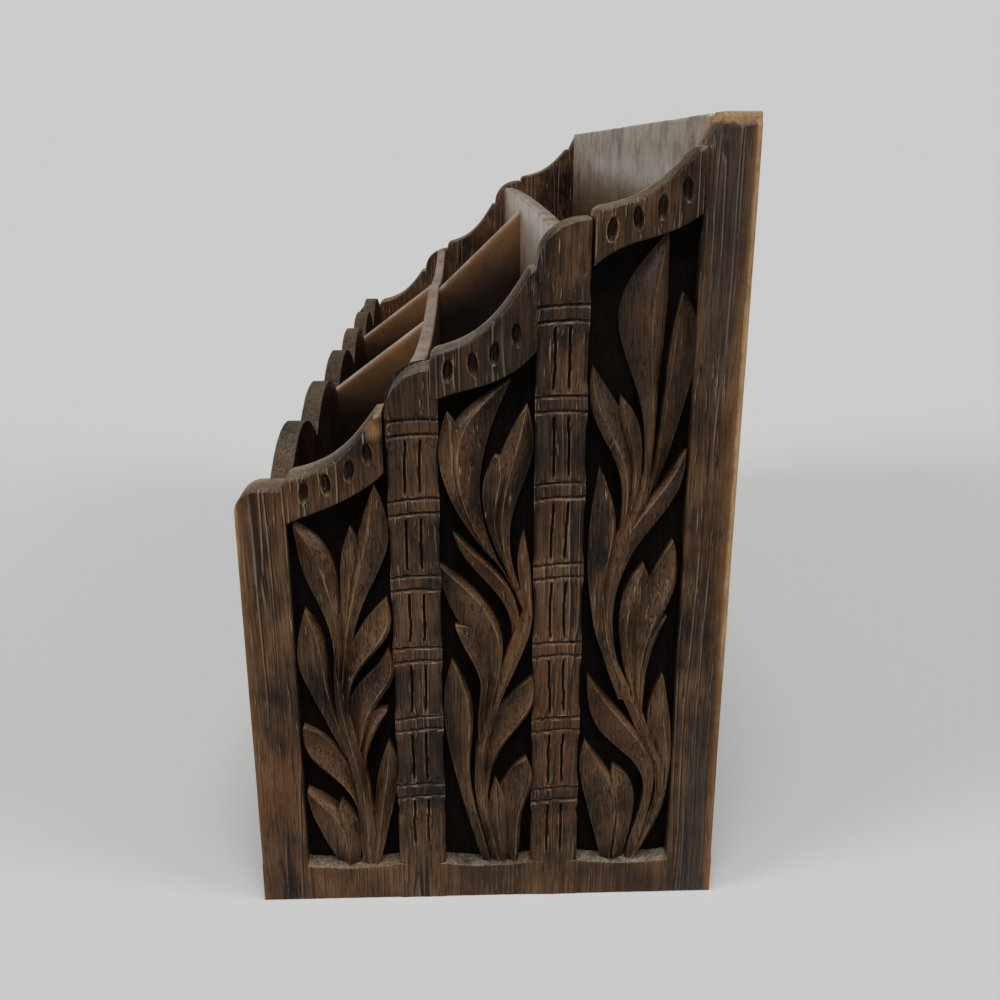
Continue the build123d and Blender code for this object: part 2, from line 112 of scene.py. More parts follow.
@dataclass(eq=False)
class Bench:
    """A shader or geometry tree that nodes are added to by one method."""

    tree: bpy.types.NodeTree

    def __post_init__(self) -> None:
        """Start with an empty tree."""
        self.tree.nodes.clear()

    def node(
        self, kind: str, settings: dict | None = None, inputs: dict | None = None
    ) -> bpy.types.Node:
        """Add a node.

        Args:
            kind: Blender's node type.
            settings: properties set before the sockets; "stops" fills a colour ramp.
            inputs: value or Signal for each input, by name or number.

        Returns:
            The new node.
        """
        made = self.tree.nodes.new(kind)
        for name, value in (settings or {}).items():
            if name == "stops":
                ramp = made.color_ramp
                while len(ramp.elements) < len(value):
                    ramp.elements.new(0.5)
                for element, (place, color) in zip(ramp.elements, value):
                    element.position = place
                    element.color = (*color, 1.0)
            else:
                setattr(made, name, value)
        for name, value in (inputs or {}).items():
            if isinstance(value, Signal):
                self.tree.links.new(value.socket, made.inputs[name])
            else:
                colored = made.inputs[name].type == "RGBA"
                made.inputs[name].default_value = (*value, 1.0) if colored else value
        return made

    def signal(
        self, kind: str, settings: dict | None = None, inputs: dict | None = None, output: int | str = 0
    ) -> Signal:
        """Add a node as above and return one of its outputs, by name or number."""
        return Signal(self, self.node(kind, settings, inputs).outputs[output])

    def mix(self, share: Signal, first: Signal | Color, second: Signal | Color) -> Signal:
        """Mix two colours: share 0 gives the first, 1 the second."""
        return self.signal("ShaderNodeMix", {"data_type": "RGBA"}, {0: share, 6: first, 7: second}, 2)

    def vector(self, operation: str, first: Signal, second: Signal | tuple | float) -> Signal:
        """Add one Vector Math node; for SCALE the second value is the factor."""
        values = {0: first, "Scale" if operation == "SCALE" else 1: second}
        return self.signal("ShaderNodeVectorMath", {"operation": operation}, values)

    def point(self, *parts: Signal | float) -> Signal:
        """Join values into a vector."""
        return self.signal("ShaderNodeCombineXYZ", None, dict(enumerate(parts)))

    def parts(self, vector: Signal) -> list[Signal]:
        """Split a vector into its three values."""
        split = self.node("ShaderNodeSeparateXYZ", None, {0: vector})
        return [Signal(self, output) for output in split.outputs]

    def noise(
        self, place: Signal, scale: float = 1.0, detail: float = 2.0, rough: float = 0.5
    ) -> Signal:
        """Noise from 0 to 1, by features per unit, octaves and weight of the finer ones."""
        values = {"Vector": place, "Scale": scale, "Detail": detail, "Roughness": rough}
        return self.signal("ShaderNodeTexNoise", None, values)

    def bump(self, height: Signal, strength: float, distance: float) -> Signal:
        """Turn a height into a normal; the distance is in metres."""
        values = {"Strength": strength, "Distance": distance, "Height": height}
        return self.signal("ShaderNodeBump", None, values)

    def surface(self, inputs: dict) -> None:
        """End a material's tree in one Principled shader with the given inputs."""
        shader = self.signal("ShaderNodeBsdfPrincipled", None, inputs)
        self.node("ShaderNodeOutputMaterial", None, {"Surface": shader})


# --- Finishes ---
class Grain(Enum):
    """Direction that the fibres of a board run in."""

    UPRIGHT = "upright"
    LENGTHWISE = "lengthwise"


def start_material(name: str) -> tuple[bpy.types.Material, Bench, Signal]:
    """Start a material.

    Args:
        name: the material's name.

    Returns:
        The material, its bench and the object's own coordinates.
    """
    made = bpy.data.materials.new(name)
    made.use_nodes = True
    bench = Bench(made.node_tree)
    return made, bench, bench.signal("ShaderNodeTexCoord", None, None, "Object")


@dataclass(frozen=True)
class HardwoodFinish:
    """Dark stained open-pored hardwood: worn edges, dusted ledges, painted shade in hollows, painted
    highlights.

    A fibre is given by its features per metre across and along the grain, its octaves and the
    weight of the finer ones; a cloud by its features per metre, its octaves and that weight.
    Edges are the values between which a noise fades in. Widths of a split are shares of its
    noise, and the lip is in metres.
    """

    name: str
    grain: Grain
    deep: Color = (0.0085, 0.0045, 0.0026)
    body: Color = (0.054, 0.0262, 0.0108)
    light: Color = (0.125, 0.068, 0.032)
    rust: Color = (0.105, 0.038, 0.012)
    # Orange of the painted glow on lit edges, also under the rubbed-through chips.
    lit_amber: Color = (0.175, 0.082, 0.028)
    # Colour of worn edges, also of painted rim highlights and the strongest painted glow.
    worn: Color = (0.42, 0.255, 0.125)
    # Colour of dusted tops, and of painted sheen and highlights.
    dust_and_sheen: Color = (0.305, 0.28, 0.215)
    # Near-black colour for painted shade in hollows, recesses and shaded faces.
    hollow: Color = (0.0065, 0.0045, 0.0035)
    stain: Color = (0.026, 0.024, 0.026)
    # Colour of the painted glints beside cracks and splits.
    glint: Color = (0.33, 0.235, 0.155)
    streaks: Fibre = (260.0, 9.0, 3.0, 0.6)
    fibres: Fibre = (1700.0, 60.0, 3.0, 0.65)
    pores: Fibre = (3200.0, 120.0, 1.0, 0.5)
    cracks: Fibre = (1300.0, 75.0, 2.0, 0.7)
    splits: Fibre = (270.0, 5.0, 1.0, 0.45)
    split_zones: Fibre = (90.0, 14.0, 2.0, 0.6)
    patches: Cloud = (42.0, 3.0, 0.6)
    glint_zones: Cloud = (110.0, 2.0, 0.6)
    rust_zones: Cloud = (30.0, 3.0, 0.7)
    rubbing: Cloud = (160.0, 3.0, 0.7)
    dust_zones: Cloud = (90.0, 4.0, 0.7)
    dust_grains: Cloud = (900.0, 3.0, 0.7)
    crack_edges: Point = (0.625, 0.67)
    pore_edges: Point = (0.60, 0.66)
    split_zone_edges: Point = (0.45, 0.56)
    glint_edges: Point = (0.42, 0.62)
    rust_edges: Point = (0.48, 0.68)
    dust_edges: Point = (0.2, 0.7)
    grain_edges: Point = (0.58, 0.4)
    level_edges: Point = (0.55, 1.0)
    lit_heights: Point = (0.02, 0.13)
    sway_scale: float = 14.0
    sway: float = 0.004
    lip: float = 0.00035
    split_width: float = 0.021
    lip_width: float = 0.027
    tones: tuple[float, float, float] = (0.35, 0.5, 0.68)
    pore_depth: float = 0.9
    gloss: float = 0.15
    coat: float = 0.09
    coat_roughness: float = 0.2
    rusty: float = 0.55
    glitter: float = 0.75
    splitting: float = 1.0
    patchiness: float = 1.0
    wear_amount: float = 0.75
    upward_dust_and_sheen: float = 0.55
    grit: float = 0.65
    roughness: float = 0.40
    bump: float = 0.8
    bump_height: float = 0.0006

    # Attributes painted on the pieces; besides wear, chips, stains and dust they carry painted shade
    # and painted highlights.
    PAINTED = ("wear", "bare", "stain", "hollow", "shade", "dusty", "clean")

    def _turned(self, across: float, along: float) -> tuple[float, float, float]:
        """A size across the fibres on two axes and along them on the third."""
        return (across, across, along) if self.grain is Grain.UPRIGHT else (along, across, across)

    def _fibrous(self, bench: Bench, place: Signal, fibre: Fibre) -> Signal:
        """Noise that runs with the fibres.

        Args:
            bench: the shader's bench.
            place: position in metres.
            fibre: features per metre across and along, octaves and weight of the finer ones.

        Returns:
            The noise value.
        """
        across, along, detail, rough = fibre
        values = {"Vector": place, "Scale": self._turned(across, along)}
        return bench.noise(bench.signal("ShaderNodeMapping", None, values), 1.0, detail, rough)

    def _openings(
        self, bench: Bench, place: Signal, swayed: Signal, clean: Signal
    ) -> tuple[Signal, Signal]:
        """Pores, short cracks and long splits, and painted glints beside them.

        Args:
            bench: the shader's bench.
            place: position in metres.
            swayed: the position moved off straight lines.
            clean: share of the surface that is kept free of splits.

        Returns:
            The openings and the painted glints, each from 0 to 1.
        """
        lip = (0.0, self.lip, 0.0) if self.grain is Grain.UPRIGHT else (0.0, 0.0, self.lip)
        beside = bench.vector("ADD", swayed, lip)
        cracks, lit_lips = (
            self._fibrous(bench, spot, self.cracks).ramp(*self.crack_edges) for spot in (swayed, beside)
        )
        splits, edges = (
            abs(self._fibrous(bench, spot, self.splits) - 0.5).ramp(width, width * 0.4)
            for spot, width in ((swayed, self.split_width), (beside, self.lip_width))
        )
        present = self._fibrous(bench, place, self.split_zones).ramp(*self.split_zone_edges)
        present = present * self.splitting * (1 - clean)
        openings = (self._fibrous(bench, swayed, self.pores).ramp(*self.pore_edges) * 0.7).most(cracks)
        # Painted highlights: glints along one edge of each crack and split, stronger higher up the
        # panel.
        shown = bench.noise(place, *self.glint_zones).ramp(*self.glint_edges)
        glints = (lit_lips - cracks).most(0.0) * shown
        high = bench.parts(place)[2].ramp(*self.lit_heights)
        glints = glints.most((edges - splits).most(0.0) * present * 0.6) * (0.35 + high * 0.75)
        return openings.most(splits * present), glints

    def material(self) -> bpy.types.Material:
        """Build the material.

        Returns:
            The new material.
        """
        made, bench, place = start_material(self.name)
        values = {"Vector": place, "Scale": self.sway_scale, "Detail": 1.0}
        sway = bench.signal("ShaderNodeTexNoise", None, values, 1)
        swayed = bench.vector("ADD", place, bench.vector("SCALE", sway, self.sway))
        painted = {
            label: bench.signal("ShaderNodeAttribute", {"attribute_name": label}, None, "Fac")
            for label in self.PAINTED
        }
        streaks, fibres = (self._fibrous(bench, swayed, fibre) for fibre in (self.streaks, self.fibres))
        patches, rub = (bench.noise(place, *cloud) for cloud in (self.patches, self.rubbing))
        pores, glints = self._openings(bench, place, swayed, painted["clean"])

        tone = streaks * 0.3 + fibres * 0.55 + 0.075 + (patches - 0.5) * self.patchiness
        stops = list(zip(self.tones, (self.deep, self.body, self.light)))
        color = bench.signal("ShaderNodeValToRGB", {"stops": stops}, {0: tone})

        normal = bench.signal("ShaderNodeNewGeometry", None, None, "Normal")
        upward = bench.parts(normal)[2].ramp(*self.level_edges)
        # Dusted upward faces with painted sheen on tops, plus painted highlights and sheen where they
        # are painted on.
        dust_and_sheen_share = (upward * (1 - painted["clean"]) * self.upward_dust_and_sheen).most(painted["dusty"])
        dust_and_sheen_share = dust_and_sheen_share * bench.noise(place, *self.dust_zones).ramp(*self.dust_edges)
        grains = bench.noise(place, *self.dust_grains).ramp(*self.grain_edges)
        dust_and_sheen_share = dust_and_sheen_share * (1 - grains * self.grit)
        bare = painted["bare"]
        coats = (
            (bench.noise(place, *self.rust_zones).ramp(*self.rust_edges) * self.rusty, self.rust),
            (pores * self.pore_depth, self.deep),
            # Painted highlights: glints beside the cracks.
            (glints * self.glitter, self.glint),
            ((painted["stain"] * (0.4 + patches)).ramp(0.2, 0.9) * 0.85, self.stain),
            # Worn edges, which on the leaves and strips also stand for painted highlights along their
            # rims.
            ((painted["wear"] * (0.3 + rub * 1.3)).ramp(0.45, 1.1) * self.wear_amount, self.worn),
            # Rubbed-through chips, and painted glow along lit edges.
            ((bare * (0.5 + rub)).ramp(0.02, 0.5) * 0.85, self.lit_amber),
            ((bare * (0.35 + rub * 1.3)).ramp(0.35, 1.0) * 0.85, self.worn),
            # Painted shade: darker with depth in the carving, and wherever shade is painted on.
            (painted["hollow"].ramp(0.12, 0.9) * 0.95, self.hollow),
            (painted["shade"], self.hollow),
            # Dusting and painted sheen.
            (dust_and_sheen_share, self.dust_and_sheen),
        )
        for share, coat in coats:
            color = bench.mix(share, color, coat)

        height = fibres * 0.35 - pores * 0.9 + glints * 0.25
        dull = self.roughness + pores * 0.25 + dust_and_sheen_share * 0.3 + (patches - 0.5) * 0.2
        dull = dull + painted["hollow"] * 0.3
        bench.surface(
            {
                "Base Color": color,
                "Roughness": dull,
                "Normal": bench.bump(height, self.bump, self.bump_height),
                "Specular IOR Level": self.gloss,
                "Coat Weight": self.coat,
                "Coat Roughness": self.coat_roughness,
            }
        )
        return made


@dataclass(frozen=True)
class PaperFloor:
    """Pale seamless paper that shows white to the camera and keeps soft shadows."""

    color: Color = (0.498, 0.503, 0.498)
    tooth_color: Color = (0.447, 0.452, 0.447)
    tooth: Cloud = (260.0, 4.0, 0.6)
    tooth_share: float = 0.2
    roughness: float = 0.8
    bump: float = 0.15
    bump_height: float = 0.0005

    def material(self) -> bpy.types.Material:
        """Build the material.

        Returns:
            The new material.
        """
        made, bench, place = start_material("seamless_paper")
        tooth = bench.noise(place, *self.tooth)
        color = bench.mix(tooth * self.tooth_share, self.color, self.tooth_color)
        bench.surface(
            {
                "Base Color": color,
                "Roughness": self.roughness,
                "Specular IOR Level": 0.0,
                "Normal": bench.bump(tooth, self.bump, self.bump_height),
            }
        )
        return made


# --- Mesh making ---
def smooth_through(points: Sequence[Point], count: int) -> np.ndarray:
    """Run a natural cubic spline through a few points.

    Args:
        points: the points that the curve passes through.
        count: how many samples to return.

    Returns:
        An array of count points.
    """
    knots = np.array(points, float)
    spans = np.hypot(*np.diff(knots, axis=0).T)
    places = np.r_[0.0, np.cumsum(spans)]
    size = len(knots)
    system = np.eye(size)
    right = np.zeros((size, 2))
    for row in range(1, size - 1):
        before, after = spans[row - 1], spans[row]
        system[row, row - 1 : row + 2] = before, 2 * (before + after), after
        onward, arrival = knots[row + 1] - knots[row], knots[row] - knots[row - 1]
        right[row] = 6 * (onward / after - arrival / before)
    bends = np.linalg.solve(system, right)
    wanted = np.linspace(0, places[-1], count)
    piece = np.clip(np.searchsorted(places, wanted, side="right") - 1, 0, size - 2)
    span = spans[piece][:, None]
    after = (wanted - places[piece])[:, None] / span
    before = 1 - after
    low, high = bends[piece], bends[piece + 1]
    curve = before * knots[piece] + after * knots[piece + 1]
    return curve + ((before**3 - before) * low + (after**3 - after) * high) * span**2 / 6


def bezier(points: Sequence[Point], count: int) -> np.ndarray:
    """Sample a Bezier curve of any order.

    Args:
        points: its control points.
        count: how many samples to return.

    Returns:
        An array of count points.
    """
    order = len(points) - 1
    share = np.linspace(0, 1, count)
    weights = [math.comb(order, k) * share**k * (1 - share) ** (order - k) for k in range(order + 1)]
    return np.array(weights).T @ np.array(points)


def between(start: Point, end: Point, across: float, up: float) -> Point:
    """A point part of the way from start to end, by separate shares along y and z."""
    return (start[0] + across * (end[0] - start[0]), start[1] + up * (end[1] - start[1]))


def crowded(count: int, crowding: float) -> np.ndarray:
    """Samples from 0 to 1 that lie closer together towards both ends."""
    even = np.linspace(0, 1, count)
    return even * (1 - crowding) + (0.5 - 0.5 * np.cos(math.pi * even)) * crowding


def upright_grid(across: np.ndarray, low: float, top: np.ndarray, shares: np.ndarray) -> np.ndarray:
    """Grid of (y, z) that rises at each y from low to its top by the given shares."""
    z = low + (top - low) * shares[:, None]
    return np.dstack([np.broadcast_to(across, z.shape), z])


@np.vectorize
def uneven(x: float, y: float, z: float, size: float, seed: float = 0.0) -> float:
    """Unevenness of a hand-worked surface, from -1 to 1, with features of a given size in mm."""
    return noise.noise(Vector((x, y, z)) / size + Vector((seed, seed * 0.37, seed * 0.71)))


def step(values: np.ndarray, start: float, end: float) -> np.ndarray:
    """Smooth step of an array from 0 at start to 1 at end."""
    share = np.clip((values - start) / (end - start), 0, 1)
    return share * share * (3 - 2 * share)


@dataclass
class Draft:
    """Vertices and faces of one piece, gathered in millimetres."""

    points: list[tuple[float, float, float]] = field(default_factory=list)
    faces: list[tuple[int, ...]] = field(default_factory=list)

    def add_slab(self, front: np.ndarray, *loops: Point) -> None:
        """Add a closed solid behind a sculpted front.

        Args:
            front: grid of points, rows upwards and columns towards +Y, seen from +X.
            loops: x and inset of each loop of the wall behind it; the last one is capped.
        """
        index = np.arange(front.shape[0] * front.shape[1]).reshape(front.shape[:2]) + len(self.points)
        self.points += front.reshape(-1, 3).tolist()
        corners = (index[:-1, :-1], index[:-1, 1:], index[1:, 1:], index[1:, :-1])
        self.faces += np.stack(corners, -1).reshape(-1, 4).tolist()
        rim = np.r_[index[0], index[1:, -1], index[-1, -2::-1], index[-2:0:-1, 0]].tolist()
        self.close(rim, *loops)

    def close(self, rim: list[int], *loops: Point) -> None:
        """Add walls from a rim through further loops, and cap the last one.

        Args:
            rim: indices of the loop the walls start from.
            loops: x of each new loop, and how far it lies inside the outline.
        """
        flat = np.array([self.points[index][1:] for index in rim])
        ahead = np.roll(flat, -1, axis=0) - np.roll(flat, 1, axis=0)
        length = np.maximum(np.hypot(*ahead.T), 1e-6)[:, None]
        inward = np.c_[-ahead[:, 1], ahead[:, 0]] / length
        for level, inset in loops:
            made = list(range(len(self.points), len(self.points) + len(rim)))
            self.points += [(level, y, z) for y, z in flat + inward * inset]
            self.faces += zip(rim, made, made[1:] + made[:1], rim[1:] + rim[:1])
            rim = made
        self.faces.append(tuple(reversed(rim)))

    def mirrored(self) -> "Draft":
        """The same piece on the other side of the middle plane."""
        return Draft([(-x, y, z) for x, y, z in self.points], [face[::-1] for face in self.faces])

    def turned_to_front(self) -> "Draft":
        """The same piece with its +X face turned to face -Y and its +Y side turned to +X."""
        return Draft([(y, -x, z) for x, y, z in self.points], self.faces)

    def piece(
        self, name: str, material: bpy.types.Material, smooth_below: float = SHARP
    ) -> bpy.types.Object:
        """Make the object.

        Args:
            name: the object's name.
            material: its finish.
            smooth_below: edges flatter than this many degrees are shaded smooth.

        Returns:
            The new object.
        """
        mesh = bpy.data.meshes.new(name)
        mesh.from_pydata((np.array(self.points) * MM).tolist(), [], self.faces)
        mesh.materials.append(material)
        return finished(mesh, smooth_below)


def tooled(y: np.ndarray, z: np.ndarray, marks: Sequence[tuple], seed: float = 0.0) -> np.ndarray:
    """Add up kinds of tool mark, each by its depth, stretch along z, layer and size."""
    return sum(deep * uneven(y, z * stretch, layer, size, seed) for deep, stretch, layer, size in marks)


def linked(name: str, data: bpy.types.ID) -> bpy.types.Object:
    """Make an object and link it to the scene.

    Args:
        name: the object's name.
        data: its mesh, light or camera.

    Returns:
        The new object.
    """
    made = bpy.data.objects.new(name, data)
    bpy.context.scene.collection.objects.link(made)
    return made


def finished(mesh: bpy.types.Mesh, smooth_below: float = SHARP) -> bpy.types.Object:
    """Link a mesh as an object at the origin, shaded smooth but for its sharp edges.

    Args:
        mesh: the mesh, in place; the object takes its name.
        smooth_below: edges flatter than this many degrees are shaded smooth.

    Returns:
        The new object.
    """
    mesh.validate()
    mesh.update()
    mesh.shade_smooth()
    mesh.set_sharp_from_angle(angle=math.radians(smooth_below))
    return linked(mesh.name, mesh)


def paint(piece: bpy.types.Object, name: str, values: np.ndarray | float) -> None:
    """Store a number from 0 to 1 for each vertex, or one for all, for the finish to read."""
    kept = np.broadcast_to(np.clip(values, 0, 1), len(piece.data.vertices))
    piece.data.attributes.new(name, "FLOAT", "POINT").data.foreach_set("value", kept.astype(np.float32))


def read(
    items: bpy.types.bpy_prop_collection, name: str, width: int = 1, kind: type = float
) -> np.ndarray:
    """Read one property of each item of a collection.

    Args:
        items: the collection, such as a mesh's vertices.
        name: the property's name.
        width: how many numbers it has.
        kind: type of the numbers.

    Returns:
        An array with a row for each item.
    """
    values = np.empty(len(items) * width, kind)
    items.foreach_get(name, values)
    return values.reshape(-1, width).squeeze()


def places_of(piece: bpy.types.Object) -> np.ndarray:
    """Positions of a piece's vertices, in millimetres."""
    return read(piece.data.vertices, "co", 3) / MM


def exposed_edges(piece: bpy.types.Object, gain: float = 1.6) -> np.ndarray:
    """Work out how exposed each vertex is, for wear on the edges.

    Args:
        piece: the object.
        gain: how much a small turn of the surface counts.

    Returns:
        A number from 0 to 1 for each vertex.
    """
    mesh = piece.data
    faces = mesh.polygons
    normals, middles = read(faces, "normal", 3), read(faces, "center", 3)
    loop_edges = read(mesh.loops, "edge_index", 1, int)
    owners = np.repeat(np.arange(len(faces)), read(faces, "loop_total", 1, int))
    order = np.argsort(loop_edges, kind="stable")
    edges, owners = loop_edges[order], owners[order]
    pairs = np.flatnonzero(edges[1:] == edges[:-1])
    first, second, shared = owners[pairs], owners[pairs + 1], edges[pairs]
    turn = 1 - np.einsum("ij,ij->i", normals[first], normals[second])
    lean = np.einsum("ij,ij->i", middles[second] - middles[first], normals[first])
    bare = np.where(lean < 0, np.clip(turn * gain, 0, 1), 0)
    ends = read(mesh.edges, "vertices", 2, int)
    wear = np.zeros(len(mesh.vertices))
    for side in range(2):
        np.maximum.at(wear, ends[shared, side], bare)
    total, number = wear.copy(), np.ones(len(wear))
    for side in range(2):
        np.add.at(total, ends[:, side], wear[ends[:, 1 - side]])
        np.add.at(number, ends[:, side], 1)
    return np.maximum(wear * 0.9, total / number)


# --- Geometry trees ---
@dataclass
class ShapeTree:
    """A geometry tree with named sizes that turns a fine bar into a shaped piece."""

    name: str
    size_names: tuple[str, ...]

    def __post_init__(self) -> None:
        """Start the tree and its inputs."""
        self.tree = bpy.data.node_groups.new(self.name, "GeometryNodeTree")
        interface = self.tree.interface
        interface.new_socket("Geometry", in_out="OUTPUT", socket_type="NodeSocketGeometry")
        for label in self.size_names:
            socket = interface.new_socket(label, in_out="INPUT", socket_type="NodeSocketFloat")
            socket.default_value = 1.0
        self.bench = Bench(self.tree)
        source = self.bench.node("NodeGroupInput")
        self.size = {label: Signal(self.bench, source.outputs[label]) for label in self.size_names}

    def bar(self, size: Sequence[float], cuts: Sequence[int]) -> Signal:
        """Add a box cut into a fine grid, by its size and its number of points each way."""
        counts = {f"Vertices {axis}": cut for axis, cut in zip("XYZ", cuts)}
        return self.bench.signal("GeometryNodeMeshCube", None, {"Size": size, **counts})

    def position(self) -> list[Signal]:
        """The x, y and z of each point."""
        return self.bench.parts(self.bench.signal("GeometryNodeInputPosition"))

    def close(self, bar: Signal, place: Sequence[Signal], material: bpy.types.Material) -> None:
        """Put the points in place and end the tree with realized instances and a material.

        Args:
            bar: the geometry.
            place: x, y and z of each point, in millimetres.
            material: material of the whole result.
        """
        bench = self.bench
        placed = bench.point(*(value * MM for value in place))
        shape = bench.signal("GeometryNodeSetPosition", None, {"Geometry": bar, "Position": placed})
        real = bench.signal("GeometryNodeRealizeInstances", None, {"Geometry": shape})
        values = {"Geometry": real, "Material": material}
        dressed = bench.signal("GeometryNodeSetMaterial", None, values)
        bench.node("NodeGroupOutput", None, {"Geometry": dressed})

    def mesh(self, name: str, sizes: Sequence[float], bevel: float = 0.0) -> bpy.types.Mesh:
        """Run the tree once and keep its plain mesh.

        Args:
            name: name of the mesh.
            sizes: value of each named size.
            bevel: width of a bevel on the sharp edges, in mm.

        Returns:
            The finished mesh.
        """
        holder = linked(name, bpy.data.meshes.new(name))
        modifier = holder.modifiers.new("shape", "NODES")
        modifier.node_group = self.tree
        values = dict(zip(self.size_names, sizes))
        for item in self.tree.interface.items_tree:
            if item.in_out == "INPUT":
                modifier[item.identifier] = float(values[item.name])
        if bevel:
            rounding = holder.modifiers.new("worn_edges", "BEVEL")
            rounding.width, rounding.segments = bevel * MM, 3
            rounding.limit_method, rounding.angle_limit = "ANGLE", math.radians(SHARP)
        bpy.context.view_layer.update()
        graph = bpy.context.evaluated_depsgraph_get()
        mesh = bpy.data.meshes.new_from_object(holder.evaluated_get(graph), depsgraph=graph)
        mesh.name = name
        holder.modifiers.clear()
        spare = holder.data
        bpy.data.objects.remove(holder)
        bpy.data.meshes.remove(spare)
        return mesh


# --- Shared sizes ---
@dataclass(frozen=True)
class BoxSizes:
    """Sizes that the pieces share, in millimetres."""

    half_width: float = 163.75
    inner_half: float = 151.05
    half_depth: float = 60.15
    height: float = 200.0
    ground: float = 158.75
    plate: float = 152.5
    relief: float = 5.0
    front_height: float = 115.3
    front_corner: float = 5.5
    post_width: float = 12.0
    cane_middles: tuple[float, float] = (-17.5, 17.5)
    rail: float = 10.5
    floor_top: float = 9.5
    front_face: float = -53.85
    front_inner: float = -48.35
    front_divider: float = -18.25
    rear_divider: float = 15.95
    back_inner: float = 50.25
    back_thickness: float = 5.5
    divider: float = 4.0
    divider_foot: float = 9.3
    notches: tuple[float, ...] = (-151.05, -104.53, -58.52, -10.12, 45.98, 100.78, 151.05)
    notch_height: float = 113.0
    arch_rise: float = 9.7


SIZES = BoxSizes()


@dataclass(frozen=True)
class Strip:
    """One scalloped strip between two posts: ends of its top edge and of its underside."""

    low: Point
    high: Point
    under_low: Point
    under_high: Point
    dimples: tuple[Point, ...]
    under_bends: Point = (-0.7, -3.5)

    LIP, BROW = (0.08, 0.15), (0.93, 0.98)
    LIP_BEND, OGEE_BENDS = (0.0, 0.12), ((0.55, 0.27), (0.72, 0.62))
    LIP_SAMPLES = 5

    def top(self, count: int) -> list[Point]:
        """Sample the ogee along the top edge, from the low end to the high end.

        Args:
            count: how many points to return.

        Returns:
            Points (y, z).
        """
        lip, brow, turn, *bends = (
            between(self.low, self.high, *shares)
            for shares in (self.LIP, self.BROW, self.LIP_BEND, *self.OGEE_BENDS)
        )
        rise = bezier([self.low, turn, lip], self.LIP_SAMPLES)
        ogee = bezier([lip, *bends, brow], count - self.LIP_SAMPLES)
        return [*rise[:-1], *ogee, self.high]

    def underside(self, y: np.ndarray, beyond: float = 0.0) -> np.ndarray:
        """Find the height of the underside.

        Args:
            y: where to find it; places past the ends count as the ends.
            beyond: how far past the ends the curve is carried on.

        Returns:
            The height at each y.
        """
        y = np.clip(y, self.under_low[0] - beyond, self.under_high[0] + beyond)
        share = (y - self.under_low[0]) / (self.under_high[0] - self.under_low[0])
        line = self.under_low[1] + share * (self.under_high[1] - self.under_low[1])
        near, far = self.under_bends
        return line + 3 * share * (1 - share) * (near * (1 - share) + far * share)


STRIPS = (
    Strip(
        (-48.75, 115.3), (-24.5, 134.0), (-48.15, 107.0), (-23.5, 120.2),
        ((-43.3, 115.0), (-38.0, 117.0), (-32.4, 120.3), (-28.0, 124.3)),
    ),
    Strip(
        (-13.2, 144.6), (11.8, 166.9), (-11.5, 137.2), (11.5, 148.2),
        ((-8.9, 143.9), (-3.1, 145.4), (1.9, 147.8), (7.0, 152.0)),
        (-0.4, -5.2),
    ),
    Strip(
        (24.3, 177.8), (48.45, 192.9), (23.5, 166.6), (48.15, 178.8),
        ((28.0, 175.3), (33.7, 177.7), (39.0, 180.0), (44.4, 183.7)),
        (4.1, -2.9),
    ),
)
POST_TOP_BENDS = ((0.0, 0.6), (0.42, 1.0))
BACK_CORNER = ((48.45, 192.9), (51.85, 200.0))
BACK_CORNER_BEND = (0.42, 0.4)
# How far the walls of a window reach beside it, above the rail and up into the strip.
WALLS = (0.7, 1.0, 0.4)


def back_corner(count: int) -> np.ndarray:
    """Sample the short rise from the last strip to the top of the back post."""
    low, high = BACK_CORNER
    return bezier([low, between(low, high, *BACK_CORNER_BEND), high], count)


def panel_outline() -> list[Point]:
    """Sample the stepped outline of a side panel, once round from the low back corner.

    Returns:
        Points (y, z), seen from +X, against the clock.
    """
    half, corner = SIZES.half_depth, SIZES.front_corner
    points = [(half, 0.0), (half, SIZES.height), *back_corner(9)[::-1]]
    for index in (2, 1, 0):
        strip = STRIPS[index]
        points += strip.top(30)[::-1][1 if index == 2 else 0 :]
        if index:
            low, high = STRIPS[index - 1].high, strip.low
            bends = [between(low, high, *bend) for bend in POST_TOP_BENDS]
            points += [*bezier([low, *bends, high], 12)[-2:0:-1]]
    for turn in np.linspace(math.pi / 2, math.pi, 9):
        middle = (-half + corner, SIZES.front_height - corner)
        points.append((middle[0] + corner * math.cos(turn), middle[1] + corner * math.sin(turn)))
    return [*points, (-half, 0.0)]


